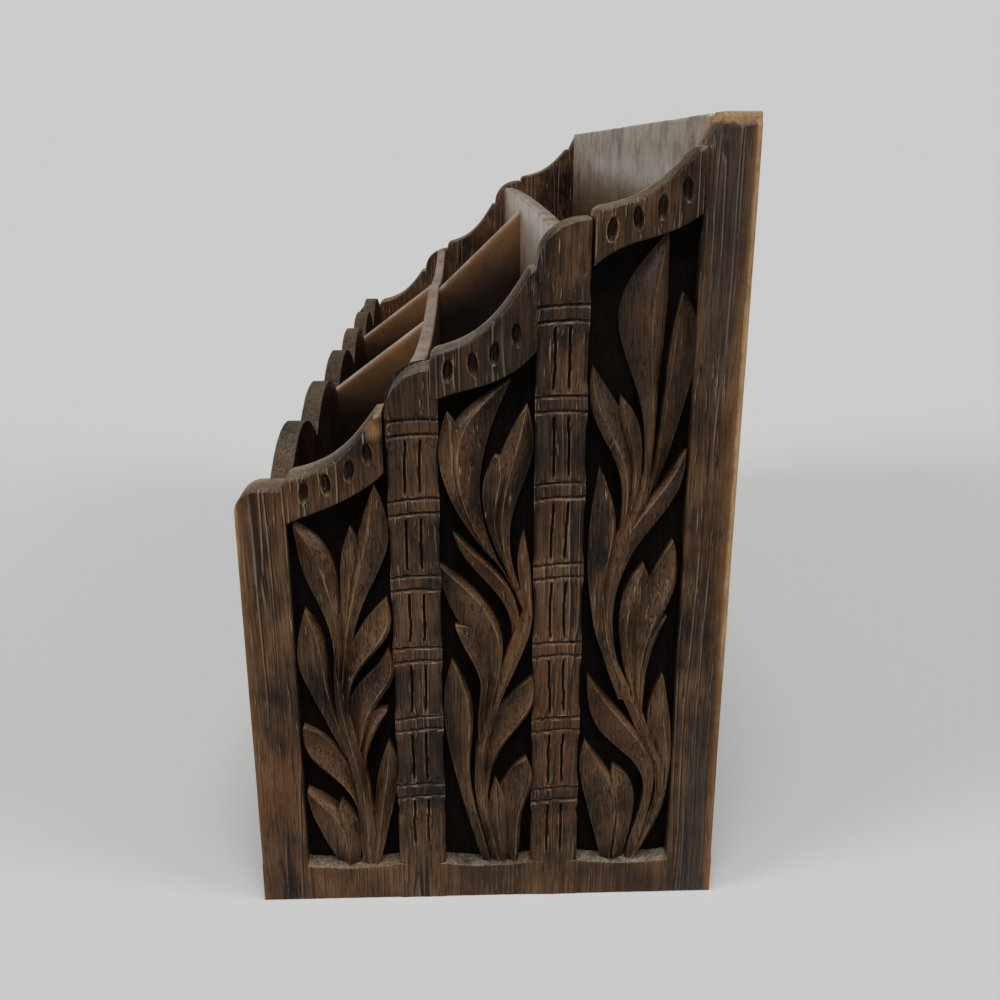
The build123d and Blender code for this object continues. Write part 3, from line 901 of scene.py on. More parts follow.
# --- Leaves ---
@dataclass(frozen=True)
class Blade:
    """One leaf blade: two knife-cut edges from the stem to the tip, as (y, z).

    The ridge is a share of the width. Depths are for carving of the panels' full relief: the
    hollow on each side of the ridge, the raised rim, and how far the face dives at its ends.
    """

    left: tuple[Point, ...]
    tip: Point
    right: tuple[Point, ...]
    ridge: float = 0.5
    hollow: float = 2.3
    rim: float = 0.2

    SKIN = 0.25
    ROOT_DIVE, ROOT_SHARE = 0.8, 0.2
    TIP_DIVE, TIP_SHARE = 1.1, 0.3
    NARROW, NARROW_DIVE = 1.2, 0.3
    LEAN = 0.22
    CROWDING = 0.35
    MARKS = ((0.07, 0.35, 0.0, 2.4), (0.12, 1.0, 3.0, 9.0))
    ROOT_TOP, ROOT_FOOT, ROOT_SLOPE = 17.0, 9.3, 0.8

    def rooted(self, edge: Sequence[Point]) -> list[Point]:
        """Carry an edge up to the tip, and down into the rail where it starts just above it.

        Args:
            edge: points of the left or right edge.

        Returns:
            The edge with the points added.
        """
        (y, z), (next_y, next_z) = edge[:2]
        if z > self.ROOT_TOP:
            return [*edge, self.tip]
        slope = np.clip((next_y - y) / max(next_z - z, 0.5), -self.ROOT_SLOPE, self.ROOT_SLOPE)
        return [(y - slope * (z - self.ROOT_FOOT), self.ROOT_FOOT), *edge, self.tip]

    def carve(self, rows: int, columns: int, seed: float, relief: float, shape: tuple) -> np.ndarray:
        """Carve the blade's face.

        Args:
            rows: samples along the blade.
            columns: samples across it.
            seed: which unevenness it gets.
            relief: height of the carving above its ground.
            shape: stretch along y and z, then shift along y.

        Returns:
            Grid of (height below the outer plane as a negative number, y, z).
        """
        left, right = (smooth_through(self.rooted(edge), rows) for edge in (self.left, self.right))
        across = crowded(columns, self.CROWDING)
        across[np.argmin(abs(across - self.ridge))] = self.ridge
        along = np.linspace(0, 1, rows)[:, None]
        width = np.hypot(*(right - left).T)[:, None]
        sink = self.ROOT_DIVE * np.maximum(0, 1 - along / self.ROOT_SHARE) ** 2
        sink = sink + self.TIP_DIVE * np.maximum(0, 1 - (1 - along) / self.TIP_SHARE) ** 2
        sink = sink + self.NARROW_DIVE * (1 - np.minimum(width / self.NARROW, 1))
        sink = sink + self.LEAN * (1 - along)
        drop = np.minimum(self.hollow * 1.3, 0.15 + width * 0.5)
        flank = np.where(across < self.ridge, self.ridge, 1 - self.ridge)
        gap = abs(across - self.ridge) / flank
        hollow = 0.85 * np.clip(flank * 2 - 0.5, 0, 1)
        curve = (1 - hollow) * gap**1.7 + hollow * (1 - (1 - gap) ** 1.9)
        low = drop * (0.45 + 0.55 * np.minimum(flank * 1.6, 1)) * curve - self.rim * gap**6
        flat = left[:, None] * (1 - across[:, None]) + right[:, None] * across[:, None]
        y, z = flat[..., 0], flat[..., 1]
        rough = tooled(y, z, self.MARKS, seed)
        x = (rough - self.SKIN - sink - low) * relief / SIZES.relief
        grid = np.dstack([x, y * shape[0] + shape[2], z * shape[1]])
        return grid[:, ::-1] if shape[0] < 0 else grid


@dataclass
class Spray:
    """A fan of leaf blades rising from one stem."""

    blades: tuple[Blade, ...]
    rows: int = 34
    columns: int = 13
    root: float = 0.3

    def add_to(self, draft: Draft, face: float, relief: float, shape: tuple = (1.0, 1.0, 0.0)) -> None:
        """Add every blade to a draft.

        Args:
            draft: the draft that gets them.
            face: level of the outer plane.
            relief: height of the carving above its ground.
            shape: stretch along y and z, then shift along y.
        """
        for number, blade in enumerate(self.blades):
            grid = blade.carve(self.rows, self.columns, number * 3.7 + shape[2], relief, shape)
            grid[..., 0] += face
            draft.add_slab(grid, (face - relief - self.root, 0.0))


SPRAYS = (
    Spray((
        Blade(((-41, 12), (-45.8, 23.6), (-47.2, 30.4)), (-47.2, 32.5),
            ((-36, 12), (-36.6, 21.6), (-43, 30)), 0.75, 1.8),
        Blade(((-38, 12), (-38.5, 21.6), (-39.2, 27.3)), (-38.6, 28.9),
            ((-34.3, 12), (-33.7, 19.6), (-35.6, 25.1)), 0.3, 1.5),
        Blade(((-33.8, 14), (-35, 29.3), (-43, 39.2), (-47.3, 45.7)), (-47.3, 51.2),
            ((-31.5, 20), (-35.5, 36.6), (-42.6, 48.1)), 0.22, 2),
        Blade(((-36.8, 41), (-43.8, 58.2), (-47.6, 69.9)), (-45.2, 83.8),
            ((-36, 46), (-40, 63.7), (-42.2, 78.9)), 0.85, 2),
        Blade(((-38.8, 58), (-39.6, 79.8), (-45, 93.7)), (-46.6, 106.6),
            ((-37.4, 60), (-36.5, 87.8), (-41, 102.4)), 0.62, 2.3),
        Blade(((-37.5, 58), (-35, 83.8), (-31, 104.3)), (-27, 116.1),
            ((-35.8, 62), (-30.5, 85.8), (-23.9, 103.3)), 0.3, 2.3),
        Blade(((-37.3, 66), (-36, 87.8), (-34.7, 101.2)), (-33.2, 105.6),
            ((-34.5, 75), (-32.3, 92.8), (-31.8, 102.2)), 0.6, 1.2),
        Blade(((-38, 52), (-35.3, 70.7), (-30, 80.9)), (-24.8, 86.6),
            ((-35, 48), (-32.5, 67.2), (-23.9, 79.9)), 0.82, 1.9),
        Blade(((-36.6, 45), (-33.8, 61.2), (-28, 67.8)), (-25, 72.8),
            ((-32.2, 45), (-27.5, 58.7), (-23.4, 67.3)), 0.8, 2.3),
        Blade(((-33.4, 34), (-32, 47.7), (-28.6, 55.6)), (-25.7, 55.9),
            ((-29.4, 25), (-31.3, 42.7), (-27.6, 52.4)), 0.7, 1.4),
        Blade(((-30.5, 12), (-29.5, 30.6), (-27.2, 42)), (-25.6, 46.4),
            ((-28.5, 12), (-24.5, 29.6), (-23.4, 39.5)), 0.45, 1.9),
        Blade(((-33.6, 10), (-34, 30), (-38.4, 56)), (-38.2, 74),
            ((-29.4, 10), (-31.4, 36), (-36.4, 60)), 0.5, 0.9),
    )),
    Spray((
        Blade(((-2, 12), (-9.2, 40.7), (-10, 65.8)), (-8.9, 69.6),
            ((0, 14), (-4.6, 37.7), (-4.4, 59.8)), 0.85, 1.9),
        Blade(((-2, 26), (-0.6, 51.7), (9, 62.1)), (11.4, 64.5),
            ((-0.4, 26), (4, 45.2), (12, 59.2)), 0.85, 2),
        Blade(((1.8, 12), (2.2, 28.6), (5.6, 36.5)), (10, 41),
            ((8.2, 12), (9.5, 26.6), (11.6, 37.5)), 0.85, 2),
        Blade(((2.6, 12), (0.4, 24.6), (0.8, 31.4)), (1.9, 34.9),
            ((5, 13), (4.6, 23.6), (3.6, 31.4)), 0.5, 1),
        Blade(((-1, 42), (-1.6, 53.9), (-1.8, 65.8), (-4.8, 75.5), (-9.3, 84.5), (-11.2, 90.5)),
            (-11.9, 95.6), ((0.3, 43), (1.2, 55.9), (3.6, 76.5), (-5, 90.4)), 0.88, 2.3),
        Blade(((-1.4, 42), (-2.5, 52.8), (-2.2, 65.4), (-6, 73.6)), (-7.9, 79.3),
            ((-0.6, 44), (-0.8, 55.8), (0.4, 67.4), (-3, 77.6)), 0.12, 2.1),
        Blade(((6, 72), (5.6, 81.4), (-0.6, 91.5), (-6.2, 99.1)), (-8.2, 103.8),
            ((8.6, 76), (5.6, 89.6), (-4, 99.9)), 0.85, 2),
        Blade(((9.4, 82), (5.4, 91.9), (-3, 103.7), (-7.9, 130.4)), (5.8, 141.8),
            ((10, 83), (-1.7, 112.9), (2, 132.5)), 0.3, 2.4),
        Blade(((4.6, 93), (-7.4, 109.9), (-11.1, 127.5)), (-9.3, 133.9),
            ((-2, 103), (-7, 116.9), (-7.5, 131.5)), 0.6, 1.2),
        Blade(((9.4, 82), (2.4, 103.9), (3.6, 123.5)), (9.6, 135.6),
            ((10.6, 83), (7.2, 91.9), (5.7, 105.7), (11.2, 126.3)), 0.42, 2.3),
        Blade(((5, 93), (0.2, 105.8), (-0.5, 117.3)), (2, 123.1),
            ((5, 97), (2.6, 109.8), (3.3, 122.8)), 0.7, 1.2),
        Blade(((9.7, 80), (8, 90.8), (7.5, 97.1)), (9, 104.3),
            ((10.9, 80), (10.9, 90.8), (10.1, 98.1)), 0.8, 1.2),
        Blade(((1.3, 10), (-3.4, 34), (0.9, 58), (5.2, 72.5), (7.8, 80)), (10.6, 90),
            ((4.4, 10), (-0.6, 36), (3.2, 58), (8.8, 72), (11.2, 81)), 0.55, 0.9),
    )),
    Spray((
        Blade(((30.2, 11), (25.6, 29.6), (24.3, 41.5)), (25.2, 45.8),
            ((33, 12), (33.6, 32.6), (27.5, 42.5)), 0.88, 1.8),
        Blade(((33, 11), (33.2, 26.6), (32.3, 35.9)), (32.8, 38.2),
            ((36.4, 11), (38.6, 24.6), (36.6, 35)), 0.2, 1.6),
        Blade(((37.2, 12), (40.4, 35.7), (28.5, 49.7)), (25.4, 64.9),
            ((39.6, 12), (42.9, 40.7), (29, 60.2)), 0.85, 2),
        Blade(((43.6, 24), (44.8, 35.7), (41.3, 52.7)), (44.8, 64.8),
            ((45.4, 24), (47.6, 35.7), (46.5, 55.7)), 0.7, 1.4),
        Blade(((38, 50), (36.4, 61.9), (35.6, 75.5), (41, 92.1)), (45.6, 101.2),
            ((39.6, 50), (39.2, 61.9), (42.6, 78.5), (47, 93.4)), 0.75, 1.9),
        Blade(((38, 50), (35.6, 62.9), (33.2, 76.5), (35.3, 90.4)), (38.7, 95.2),
            ((39, 52), (38.2, 65.9), (38.5, 81.5), (40.2, 90.8)), 0.35, 2),
        Blade(((38.6, 50), (38.7, 61.7), (40.5, 74.9)), (44.9, 81.3),
            ((39.8, 50), (39.8, 61.7), (42, 74.5)), 0.5, 1.2),
        Blade(((33.6, 58), (30.4, 66.9), (25.2, 89.6), (25.7, 110.6)), (27.1, 120),
            ((35.2, 58), (32.2, 66.9), (28.6, 85.6), (31.2, 107.1)), 0.85, 1.8),
        Blade(((28.8, 84), (31.6, 99.8), (44, 118.4)), (47.6, 124.3),
            ((30.8, 82), (36, 98.3), (46.6, 115.4)), 0.2, 2),
        Blade(((31.5, 100), (31.4, 119.9), (24.4, 135.6)), (24.6, 144.8),
            ((34.5, 103), (35.2, 125.9), (29, 138.1)), 0.3, 1.8),
        Blade(((33.6, 106), (34.5, 121.9), (31.4, 133.5)), (31.4, 137.6),
            ((35.3, 107), (36.9, 123.9), (34.3, 134.1)), 0.3, 1.6),
        Blade(((37, 112), (36, 136.5), (30.5, 156.9)), (40.8, 174.8),
            ((39, 113), (40.6, 146), (41.4, 163.9)), 0.7, 2.6),
        Blade(((38.4, 111), (41.5, 135.9), (43.2, 153.8)), (44.8, 161.3),
            ((40.6, 115), (47.4, 139.9), (47.6, 156.8)), 0.12, 2.2, 1.2),
        Blade(((37.2, 10), (42.8, 24), (44.2, 33), (41.4, 42.5), (36.7, 53.7), (29.6, 70), (26.2, 82)),
            (28.4, 98),
            ((39.6, 10), (46.2, 27), (46.9, 35), (43.9, 43), (39.6, 55), (32.6, 70), (31, 82)),
            0.6, 0.9),
        Blade(((30.4, 67), (28.6, 80), (30.6, 100), (36.8, 116)), (38.3, 126),
            ((32.2, 67), (31.2, 80), (33.6, 96), (38.4, 112)), 0.5, 0.9),
    )),
)


# --- Side panels ---
class Side(Enum):
    """The two carved ends of the box."""

    RIGHT = "right"
    LEFT = "left"


@dataclass
class CanePost:
    """A post carved like jointed cane, with paired rings and upright flutes."""

    middle: float
    low: Point
    high: Point
    first_ring: float
    pitch: float
    gap: float = 3.6
    groove: float = 0.55
    groove_depth: float = 0.75
    flute: float = 1.8
    crown: float = 0.9

    SIZE_NAMES = (
        "Middle", "Low", "High", "First Ring", "Last Ring", "Pitch",
        "Gap", "Groove", "Groove Depth", "Flute", "Crown",
    )
    WIDTH = SIZES.post_width + 0.3
    CUTS = (5, 41, 420)
    TOP_BEND = 34.0
    FLUTE_DEPTH, FLUTE_EDGES = 1.2, (0.10, 0.42)
    FLUTE_START = (12.5, 15.0)
    JOINT_DEPTH, BETWEEN_DEPTH, WAIST = 0.45, 0.28, 0.035
    END, END_LEAN, END_DROP, END_TAPER = (0.9985, 1.0), (0.985, 1.0), 0.6, 0.012

    @staticmethod
    def tree(material: bpy.types.Material) -> ShapeTree:
        """Build the geometry tree of every cane post; its sizes are in millimetres.

        Args:
            material: the post's finish.

        Returns:
            The tree.
        """
        shape = ShapeTree("cane_post", CanePost.SIZE_NAMES)
        bench = shape.bench
        middle, low, high, first, last, pitch, *ringing = shape.size.values()
        gap, groove, groove_depth, flute_place, crown = ringing
        post = CanePost
        width, deep = post.WIDTH, SIZES.half_width - SIZES.plate
        bar = shape.bar((deep, width, 2.0), post.CUTS)
        x, y, z = shape.position()
        share = (z + 1.0) * 0.5
        across = y / width + 0.5
        bent = 1.0 - (1.0 - across) * (1.0 - across) * (1.0 - across * 0.25)
        top = low + (high - low) * bent.most(0.0).root() - 0.05
        straight = share * high
        rise = straight - (high - top) * straight.ramp(high - post.TOP_BEND, high)
        front = x.ramp(deep * 0.49, deep * 0.5)

        drift = bench.noise(bench.vector("SCALE", bench.point(middle, y, rise), 0.05))
        tilt = (bench.noise(bench.point(middle, 0.0, rise * 0.045)) - 0.5) * 0.22
        ringed = rise + y * (tilt - 0.05) + y * y * 0.012 + (drift - 0.5) * 1.4
        beat = (ringed - first + pitch * 0.5).wrap(pitch, 0.0) - pitch * 0.5
        fading = ringed.ramp(first - 8.0, first - 5.0) * (1.0 - ringed.ramp(low - 1.6, low + 1.0))
        jointed = fading * (1.0 - ringed.ramp(last + 1.0, low + 1.0))
        ring = (1.0 - abs(abs(beat) - gap * 0.5).ramp(groove * 0.25, groove)) * fading
        swell = (1.0 - abs(beat).ramp(gap * 0.6, gap * 1.7)) * fading
        wander = (bench.noise(bench.point(middle, 0.0, rise * 0.11)) - 0.5) * 1.6
        gate = abs(beat).ramp(gap * 0.5 + 0.9, gap * 0.5 + 1.9) * ringed.ramp(*post.FLUTE_START)
        gate = gate * (1.0 - ringed.ramp(last, last + 0.5))
        flute = (1.0 - abs(abs(y - wander) - flute_place).ramp(*post.FLUTE_EDGES)) * gate
        bulge = (y / (width * 0.5)) * (y / (width * 0.5))
        shoulder = bulge * bulge
        rough = bench.noise(bench.point(middle, y * 0.8, rise * 0.12), 1.0, 3.0)
        sunk = (
            ring * groove_depth
            + flute * post.FLUTE_DEPTH
            + jointed * post.JOINT_DEPTH
            + (bulge * 0.35 + shoulder * shoulder * 0.75) * crown * (1.0 - swell * 0.45)
            + (1.0 - swell) * post.BETWEEN_DEPTH * jointed
            + (rough - 0.4).most(0.0) * 0.5
        )
        waist = 1.0 - (1.0 - swell) * post.WAIST * jointed
        end = share.ramp(*post.END)
        place = (
            x + (SIZES.half_width + SIZES.plate) * 0.5 - sunk * front,
            y * waist * (1.0 - end * post.END_TAPER) + middle,
            rise - front * share.ramp(*post.END_LEAN) * post.END_DROP * end,
        )
        shape.close(bar, place, material)
        return shape

    def mesh(self, tree: ShapeTree, name: str) -> bpy.types.Mesh:
        """Run the tree with this post's sizes.

        Args:
            tree: the tree of every cane post.
            name: name of the mesh.

        Returns:
            The post's mesh.
        """
        last_ring = self.first_ring + self.pitch * ((self.low[1] - self.first_ring) // self.pitch)
        ends = (self.middle, self.low[1], self.high[1], self.first_ring, last_ring, self.pitch)
        cuts = (self.gap, self.groove, self.groove_depth, self.flute, self.crown)
        return tree.mesh(name, (*ends, *cuts))


@dataclass(frozen=True)
class Facing:
    """How the face of a post, strip or rail is worked.

    The rounds are the radii of its near, far, low and high edges, and sunk is how far it lies
    back above the rail.
    """

    rounds: tuple[float, float, float, float]
    sunk: float = 0.0
    dimples: tuple[Point, ...] = ()
    held_by_posts: bool = False
    chipped: bool = False

    SKIN, DENT = 0.12, 0.05
    EMBED = 0.4
    DIMPLE, DIMPLE_DEPTH, DIMPLE_LEAN = (1.25, 2.8), 1.7, 0.07
    BURR, BURR_PLACE, BURR_WIDTH = 0.12, 1.12, 0.02

    def work(self, rows: np.ndarray) -> np.ndarray:
        """Give a flat grid its worn face.

        Args:
            rows: grid of (y, z).

        Returns:
            Grid of (x, y, z).
        """
        y, z = rows[..., 0], rows[..., 1]
        worn, fine = uneven(y, z * 0.5, 1.0, 7.0), uneven(y, z * 0.35, 0.0, 2.6)
        free = step(z, SIZES.rail - 0.4, SIZES.rail + 1.5)
        x = self.DENT * (worn + fine) - self.SKIN - self.sunk * step(z, SIZES.rail + 1.5, 40.0)
        cut = np.zeros(z.shape)
        ends = (rows[:, :1], rows[:, -1:], rows[:1], rows[-1:])
        for radius, end, upright in zip(self.rounds, ends, (True, True, False, False)):
            if radius:
                edge = radius * (1 + 0.6 * worn)
                part = np.clip(1 - np.hypot(*np.moveaxis(rows - end, -1, 0)) / edge, 0, 1)
                cut = np.maximum(cut, edge * (1 - np.sqrt(1 - part**2)) * (free if upright else 1))
        if self.held_by_posts:
            cut *= np.min([step(abs(y - middle), 5.6, 7.2) for middle in SIZES.cane_middles], axis=0)
        for number, (dip_y, dip_z) in enumerate(self.dimples):
            lean = (z - dip_z) * self.DIMPLE_LEAN * (-1) ** number
            far = np.hypot((y - dip_y - lean) / self.DIMPLE[0], (z - dip_z) / self.DIMPLE[1])
            x += self.BURR * np.exp(-((far - self.BURR_PLACE) ** 2) / self.BURR_WIDTH)
            x -= self.DIMPLE_DEPTH * np.clip(1 - far**4, 0, 1)
        if self.chipped:
            x -= 0.7 * step(z - 0.9 * uneven(y, 0.0, 0.0, 3.6), 196.9, 198.0)
        return np.dstack([SIZES.half_width + np.minimum(x - cut, -0.005), y, z])

    def draft(self, rows: np.ndarray) -> Draft:
        """Draft a piece that stands on the plate with this face.

        Args:
            rows: grid of (y, z).

        Returns:
            The piece's draft.
        """
        draft = Draft()
        draft.add_slab(self.work(rows), (SIZES.ground + self.EMBED, 0.0), (SIZES.plate, 0.0))
        return draft


@dataclass
class SidePanel:
    """A stepped end panel with posts, scalloped strips, a rail and three windows of leaves."""

    side: Side
    canes: tuple[CanePost, ...] = (
        CanePost(-17.5, (-24.5, 134.0), (-13.2, 144.6), 33.1, 19.5),
        CanePost(17.5, (11.8, 166.9), (24.3, 177.8), 31.0, 21.0),
    )
    front_post: Facing = Facing((0.8, 0.4, 0.3, 0.6), 0.5)
    back_post: Facing = Facing((0.4, 0.7, 0.3, 1.4), 0.8, chipped=True)
    strip_rounds: tuple[float, ...] = (0.7, 1.3, 0.5, 1.1)
    ledge: Facing = Facing((0.0, 0.0, 0.4, 0.9), held_by_posts=True)
    ledge_dips: tuple[float, ...] = (-35.8, 0.0, 35.8)
    dip_reach: float = 11.5
    dip_depth: float = 0.8
    window_overlap: tuple[float, float, float] = (0.6, 1.6, 1.0)
    pecks: tuple[tuple[float, ...], ...] = ((0.22, 0.5, 0.0, 1.6), (0.2, 1.0, 5.0, 5.0))
    post_grid: tuple[int, int] = (40, 300)
    strip_grid: tuple[int, int] = (170, 90)
    rail_grid: tuple[int, int] = (300, 26)
    window_grid: tuple[int, int] = (44, 230)
    plate_loops: tuple[Point, ...] = ((152.4, 0.0), (151.7, 0.2), (151.2, 0.6), (SIZES.inner_half, 1.1))
    smooth_below: float = 32.0
    cane_smooth_below: float = 60.0

    # Share of edge wear by kind of piece; on the leaves and strips it is raised to also paint
    # highlights along their rims.
    EDGE_WEAR_AND_HIGHLIGHT = {"leaves": 0.84, "plate": 0.3, "rail": 0.4, "strip": 1.25}
    # Depth in mm below the outer face at which the painted shade of each kind of piece is full.
    RECESS_SHADE_DEPTH = {"leaves": 5.4, "strip": 3.2, "cane": 2.4}

    @property
    def node(self) -> str:
        """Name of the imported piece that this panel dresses."""
        return f"side_panel_{self.side.value}"

    def _plate(self) -> Draft:
        """Draft the thin inner layer that carries the whole outline.

        Returns:
            The layer's draft.
        """
        loop = panel_outline()
        rim = list(range(len(loop)))
        draft = Draft([(SIZES.plate, y, z) for y, z in loop], [tuple(rim)])
        draft.close(rim, *self.plate_loops)
        return draft

    def _post(self, near: float, top: Callable[[np.ndarray], np.ndarray], facing: Facing) -> Draft:
        """Draft a plain square post.

        Args:
            near: y of its near side.
            top: height of its top at given values of y.
            facing: how its face is worked.

        Returns:
            The post's draft.
        """
        columns, rows = self.post_grid
        across = near + SIZES.post_width * crowded(columns, 0.8)
        return facing.draft(upright_grid(across, 0.0, top(across), crowded(rows, 0.4)))

    def _front_top(self, y: np.ndarray) -> np.ndarray:
        """Height of the front post, with its rounded corner."""
        into = np.maximum(0, SIZES.front_corner - (y + SIZES.half_depth))
        return SIZES.front_height - SIZES.front_corner + np.sqrt(SIZES.front_corner**2 - into**2)

    def _back_top(self, y: np.ndarray) -> np.ndarray:
        """Height of the back post, with the rise from the last strip."""
        return np.interp(y, *back_corner(24).T)

    def _strip(self, strip: Strip) -> Draft:
        """Draft a scalloped strip with its dimples.

        Args:
            strip: the strip's edges and dimples.

        Returns:
            The strip's draft.
        """
        columns, rows = self.strip_grid
        across, top = np.array(strip.top(columns)).T
        grid = upright_grid(across, strip.underside(across), top, crowded(rows, 0.3))
        return Facing(self.strip_rounds, 0.0, strip.dimples).draft(grid)

    def _rail(self) -> Draft:
        """Draft the bottom rail, with a ledge that dips in every window.

        Returns:
            The rail's draft.
        """
        edge = SIZES.half_depth - SIZES.post_width
        columns, rows = self.rail_grid
        across = np.linspace(-edge, edge, columns)
        dips = np.clip(1 - ((across[:, None] - self.ledge_dips) / self.dip_reach) ** 2, 0, 1).max(1)
        top = SIZES.rail - self.dip_depth * dips + 0.25 * uneven(across, 0.0, 0.0, 5.0)
        return self.ledge.draft(upright_grid(across, 0.0, top, crowded(rows, 0.5)))

    def _window(self, index: int) -> Draft:
        """Draft the tooled ground of one window.

        Args:
            index: which window, counted from the front.

        Returns:
            The ground's draft.
        """
        edge = SIZES.half_depth - SIZES.post_width
        near, far = ((-edge, -23.5), (-11.5, 11.5), (23.5, edge))[index]
        beside, under, over = self.window_overlap
        columns, rows = self.window_grid
        across = np.linspace(near - beside, far + beside, columns)
        top = STRIPS[index].underside(across) + over
        grid = upright_grid(across, SIZES.rail - under, top, np.linspace(0, 1, rows))
        y, z = np.moveaxis(grid, -1, 0)
        x = SIZES.ground + tooled(y, z, self.pecks, index)
        draft = Draft()
        draft.add_slab(np.dstack([x, y, z]), (SIZES.plate, 0.0))
        return draft

    def _drafts(self) -> dict[str, Draft]:
        """Draft every piece of the right-hand panel but its cane posts.

        Returns:
            The drafts by their labels.
        """
        half = SIZES.half_depth
        drafts = {
            "plate": self._plate(),
            "front_post": self._post(-half, self._front_top, self.front_post),
            "back_post": self._post(half - SIZES.post_width, self._back_top, self.back_post),
            "rail": self._rail(),
        }
        for index, strip in enumerate(STRIPS):
            drafts[f"strip_{index + 1}"] = self._strip(strip)
            drafts[f"window_{index + 1}"] = self._window(index)
            leaves = Draft()
            SPRAYS[index].add_to(leaves, SIZES.half_width, SIZES.relief)
            drafts[f"leaves_{index + 1}"] = leaves
        return drafts

    def _dress(self, piece: bpy.types.Object, label: str) -> None:
        """Paint the wear, rubbed-through chips, painted glow and highlights, stains and painted shade
        of a piece.

        Args:
            piece: the object.
            label: which piece of the panel it is.
        """
        kind = label.split("_")[0]
        x, y, z = places_of(piece).T
        x = abs(x)
        leafy = kind == "leaves"
        # Worn edges; on the leaves the rims are sharpened and raised into painted highlights.
        paint(piece, "wear", exposed_edges(piece, 3.0 if leafy else 1.6) * self.EDGE_WEAR_AND_HIGHLIGHT.get(kind, 1.0))
        if leafy:
            paint(piece, "clean", 0.85)
        # Painted shade: the carving darkens with depth below the outer face, and the walls of the
        # windows are painted fully in shade.
        depth = 8.0 if label == "leaves_1" else self.RECESS_SHADE_DEPTH.get(kind, 5.0)
        sunk = np.clip((SIZES.half_width - x) / depth, 0, 1)
        if kind not in ("leaves", "window"):
            face = x > SIZES.half_width - 2.6
            sunk = np.where(face, sunk, 0.0) + (~face & (x > SIZES.ground - 1.0) & in_windows(y, z))
        paint(piece, "hollow", sunk)
        self._paint_rubbed_and_lit(piece, kind, x)
        # The middle strip is darkened all over.
        if label == "strip_2":
            paint(piece, "shade", 0.35)
        # Painted shade on the upper leaves of the back spray.
        if label == "leaves_3":
            paint(piece, "shade", 0.42 * step(z + 0.5 * y, 128.0, 150.0))
        blot = step(y, 49.0, 54.0) * (1 - step(z, 40.0, 70.0)) * (1 - step(y, 57.0, 60.0))
        paint(piece, "stain", np.maximum(0.7 * blot, 0.6 * step(y, 48.5, 50.5) * step(z, 100, 160)))

    def _paint_rubbed_and_lit(self, piece: bpy.types.Object, kind: str, x: np.ndarray) -> None:
        """Paint chips rubbed through, painted glow along the posts' lit outer edges, and a lighter rail
        and strip end.

        Args:
            piece: the object.
            kind: what sort of piece it is.
            x: distance of each vertex from the middle plane.
        """
        _, y, z = places_of(piece).T
        ragged = uneven(y, 0.0, 0.0, 3.6) + 0.4 * uneven(y, 4.0, 0.0, 1.3)
        chips = step(z - 0.9 * ragged, 197.0, 198.3) * (y > 50.4) * (x > SIZES.inner_half + 1)
        # Painted light: an orange glow along the back post's lit outer edge and over its lit side, and
        # along the front post's outer edge.
        painted_glow = step(y, 55.0, 60.1) * 0.24 + step(y, 58.1, 59.6) * (0.2 + 0.4 * step(z, 40, 90))
        painted_glow += step(y, 51.5, 58.0) * step(z, 60.0, 82.0) * (1 - step(z, 150.0, 178.0)) * 0.16
        painted_glow += step(-y, 53.0, 60.1) * 0.2 + step(-y, 58.8, 60.1) * (0.15 + 0.45 * step(z, 85, 105))
        # The rail is lightened all over, and the first strip at its high end.
        painted_glow = np.maximum(painted_glow, 0.15 * (kind == "rail"))
        if kind == "strip":
            far = np.hypot(y - STRIPS[0].high[0] + 1.5, z - STRIPS[0].high[1] + 4)
            painted_glow = np.maximum(painted_glow, 0.62 * (1 - step(far, 0.5, 4.0)))
        paint(piece, "bare", np.maximum(chips * 0.9, painted_glow * (x > SIZES.half_width - 3)))

    def build(self, wood: bpy.types.Material, ground: bpy.types.Material, cane_tree: ShapeTree) -> list:
        """Build the panel's pieces.

        Args:
            wood: finish of the panel.
            ground: finish of the sunk grounds.
            cane_tree: geometry tree of the cane posts.

        Returns:
            The finished objects.
        """
        pieces = {}
        for label, draft in self._drafts().items():
            shape = draft if self.side is Side.RIGHT else draft.mirrored()
            finish = ground if label.startswith("window") else wood
            pieces[label] = shape.piece(f"{self.node}_{label}", finish, self.smooth_below)
        for number, cane in enumerate(self.canes, 1):
            mesh = cane.mesh(cane_tree, f"{self.node}_cane_{number}")
            if self.side is Side.LEFT:
                mirror_mesh(mesh)
            pieces[f"cane_{number}"] = finished(mesh, self.cane_smooth_below)
        for label, piece in pieces.items():
            self._dress(piece, label)
        return list(pieces.values())


def in_windows(y: np.ndarray, z: np.ndarray) -> np.ndarray:
    """Tell which points of a side panel lie in its windows or on their walls.

    Args:
        y: place of each point along the panel.
        z: its height.

    Returns:
        True for each point that does.
    """
    inside = np.zeros(y.shape, bool)
    beside, above_rail, into_strip = WALLS
    for strip in STRIPS:
        near, far = strip.under_low[0] - beside, strip.under_high[0] + beside
        under = strip.underside(y, beside) + into_strip
        inside |= (y > near) & (y < far) & (z > SIZES.rail + above_rail) & (z < under)
    return inside


def mirror_mesh(mesh: bpy.types.Mesh) -> None:
    """Mirror a mesh about the middle plane and keep its normals outward.

    Args:
        mesh: the mesh to change.
    """
    places = read(mesh.vertices, "co", 3) * (-1, 1, 1)
    mesh.vertices.foreach_set("co", places.ravel())
    mesh.flip_normals()


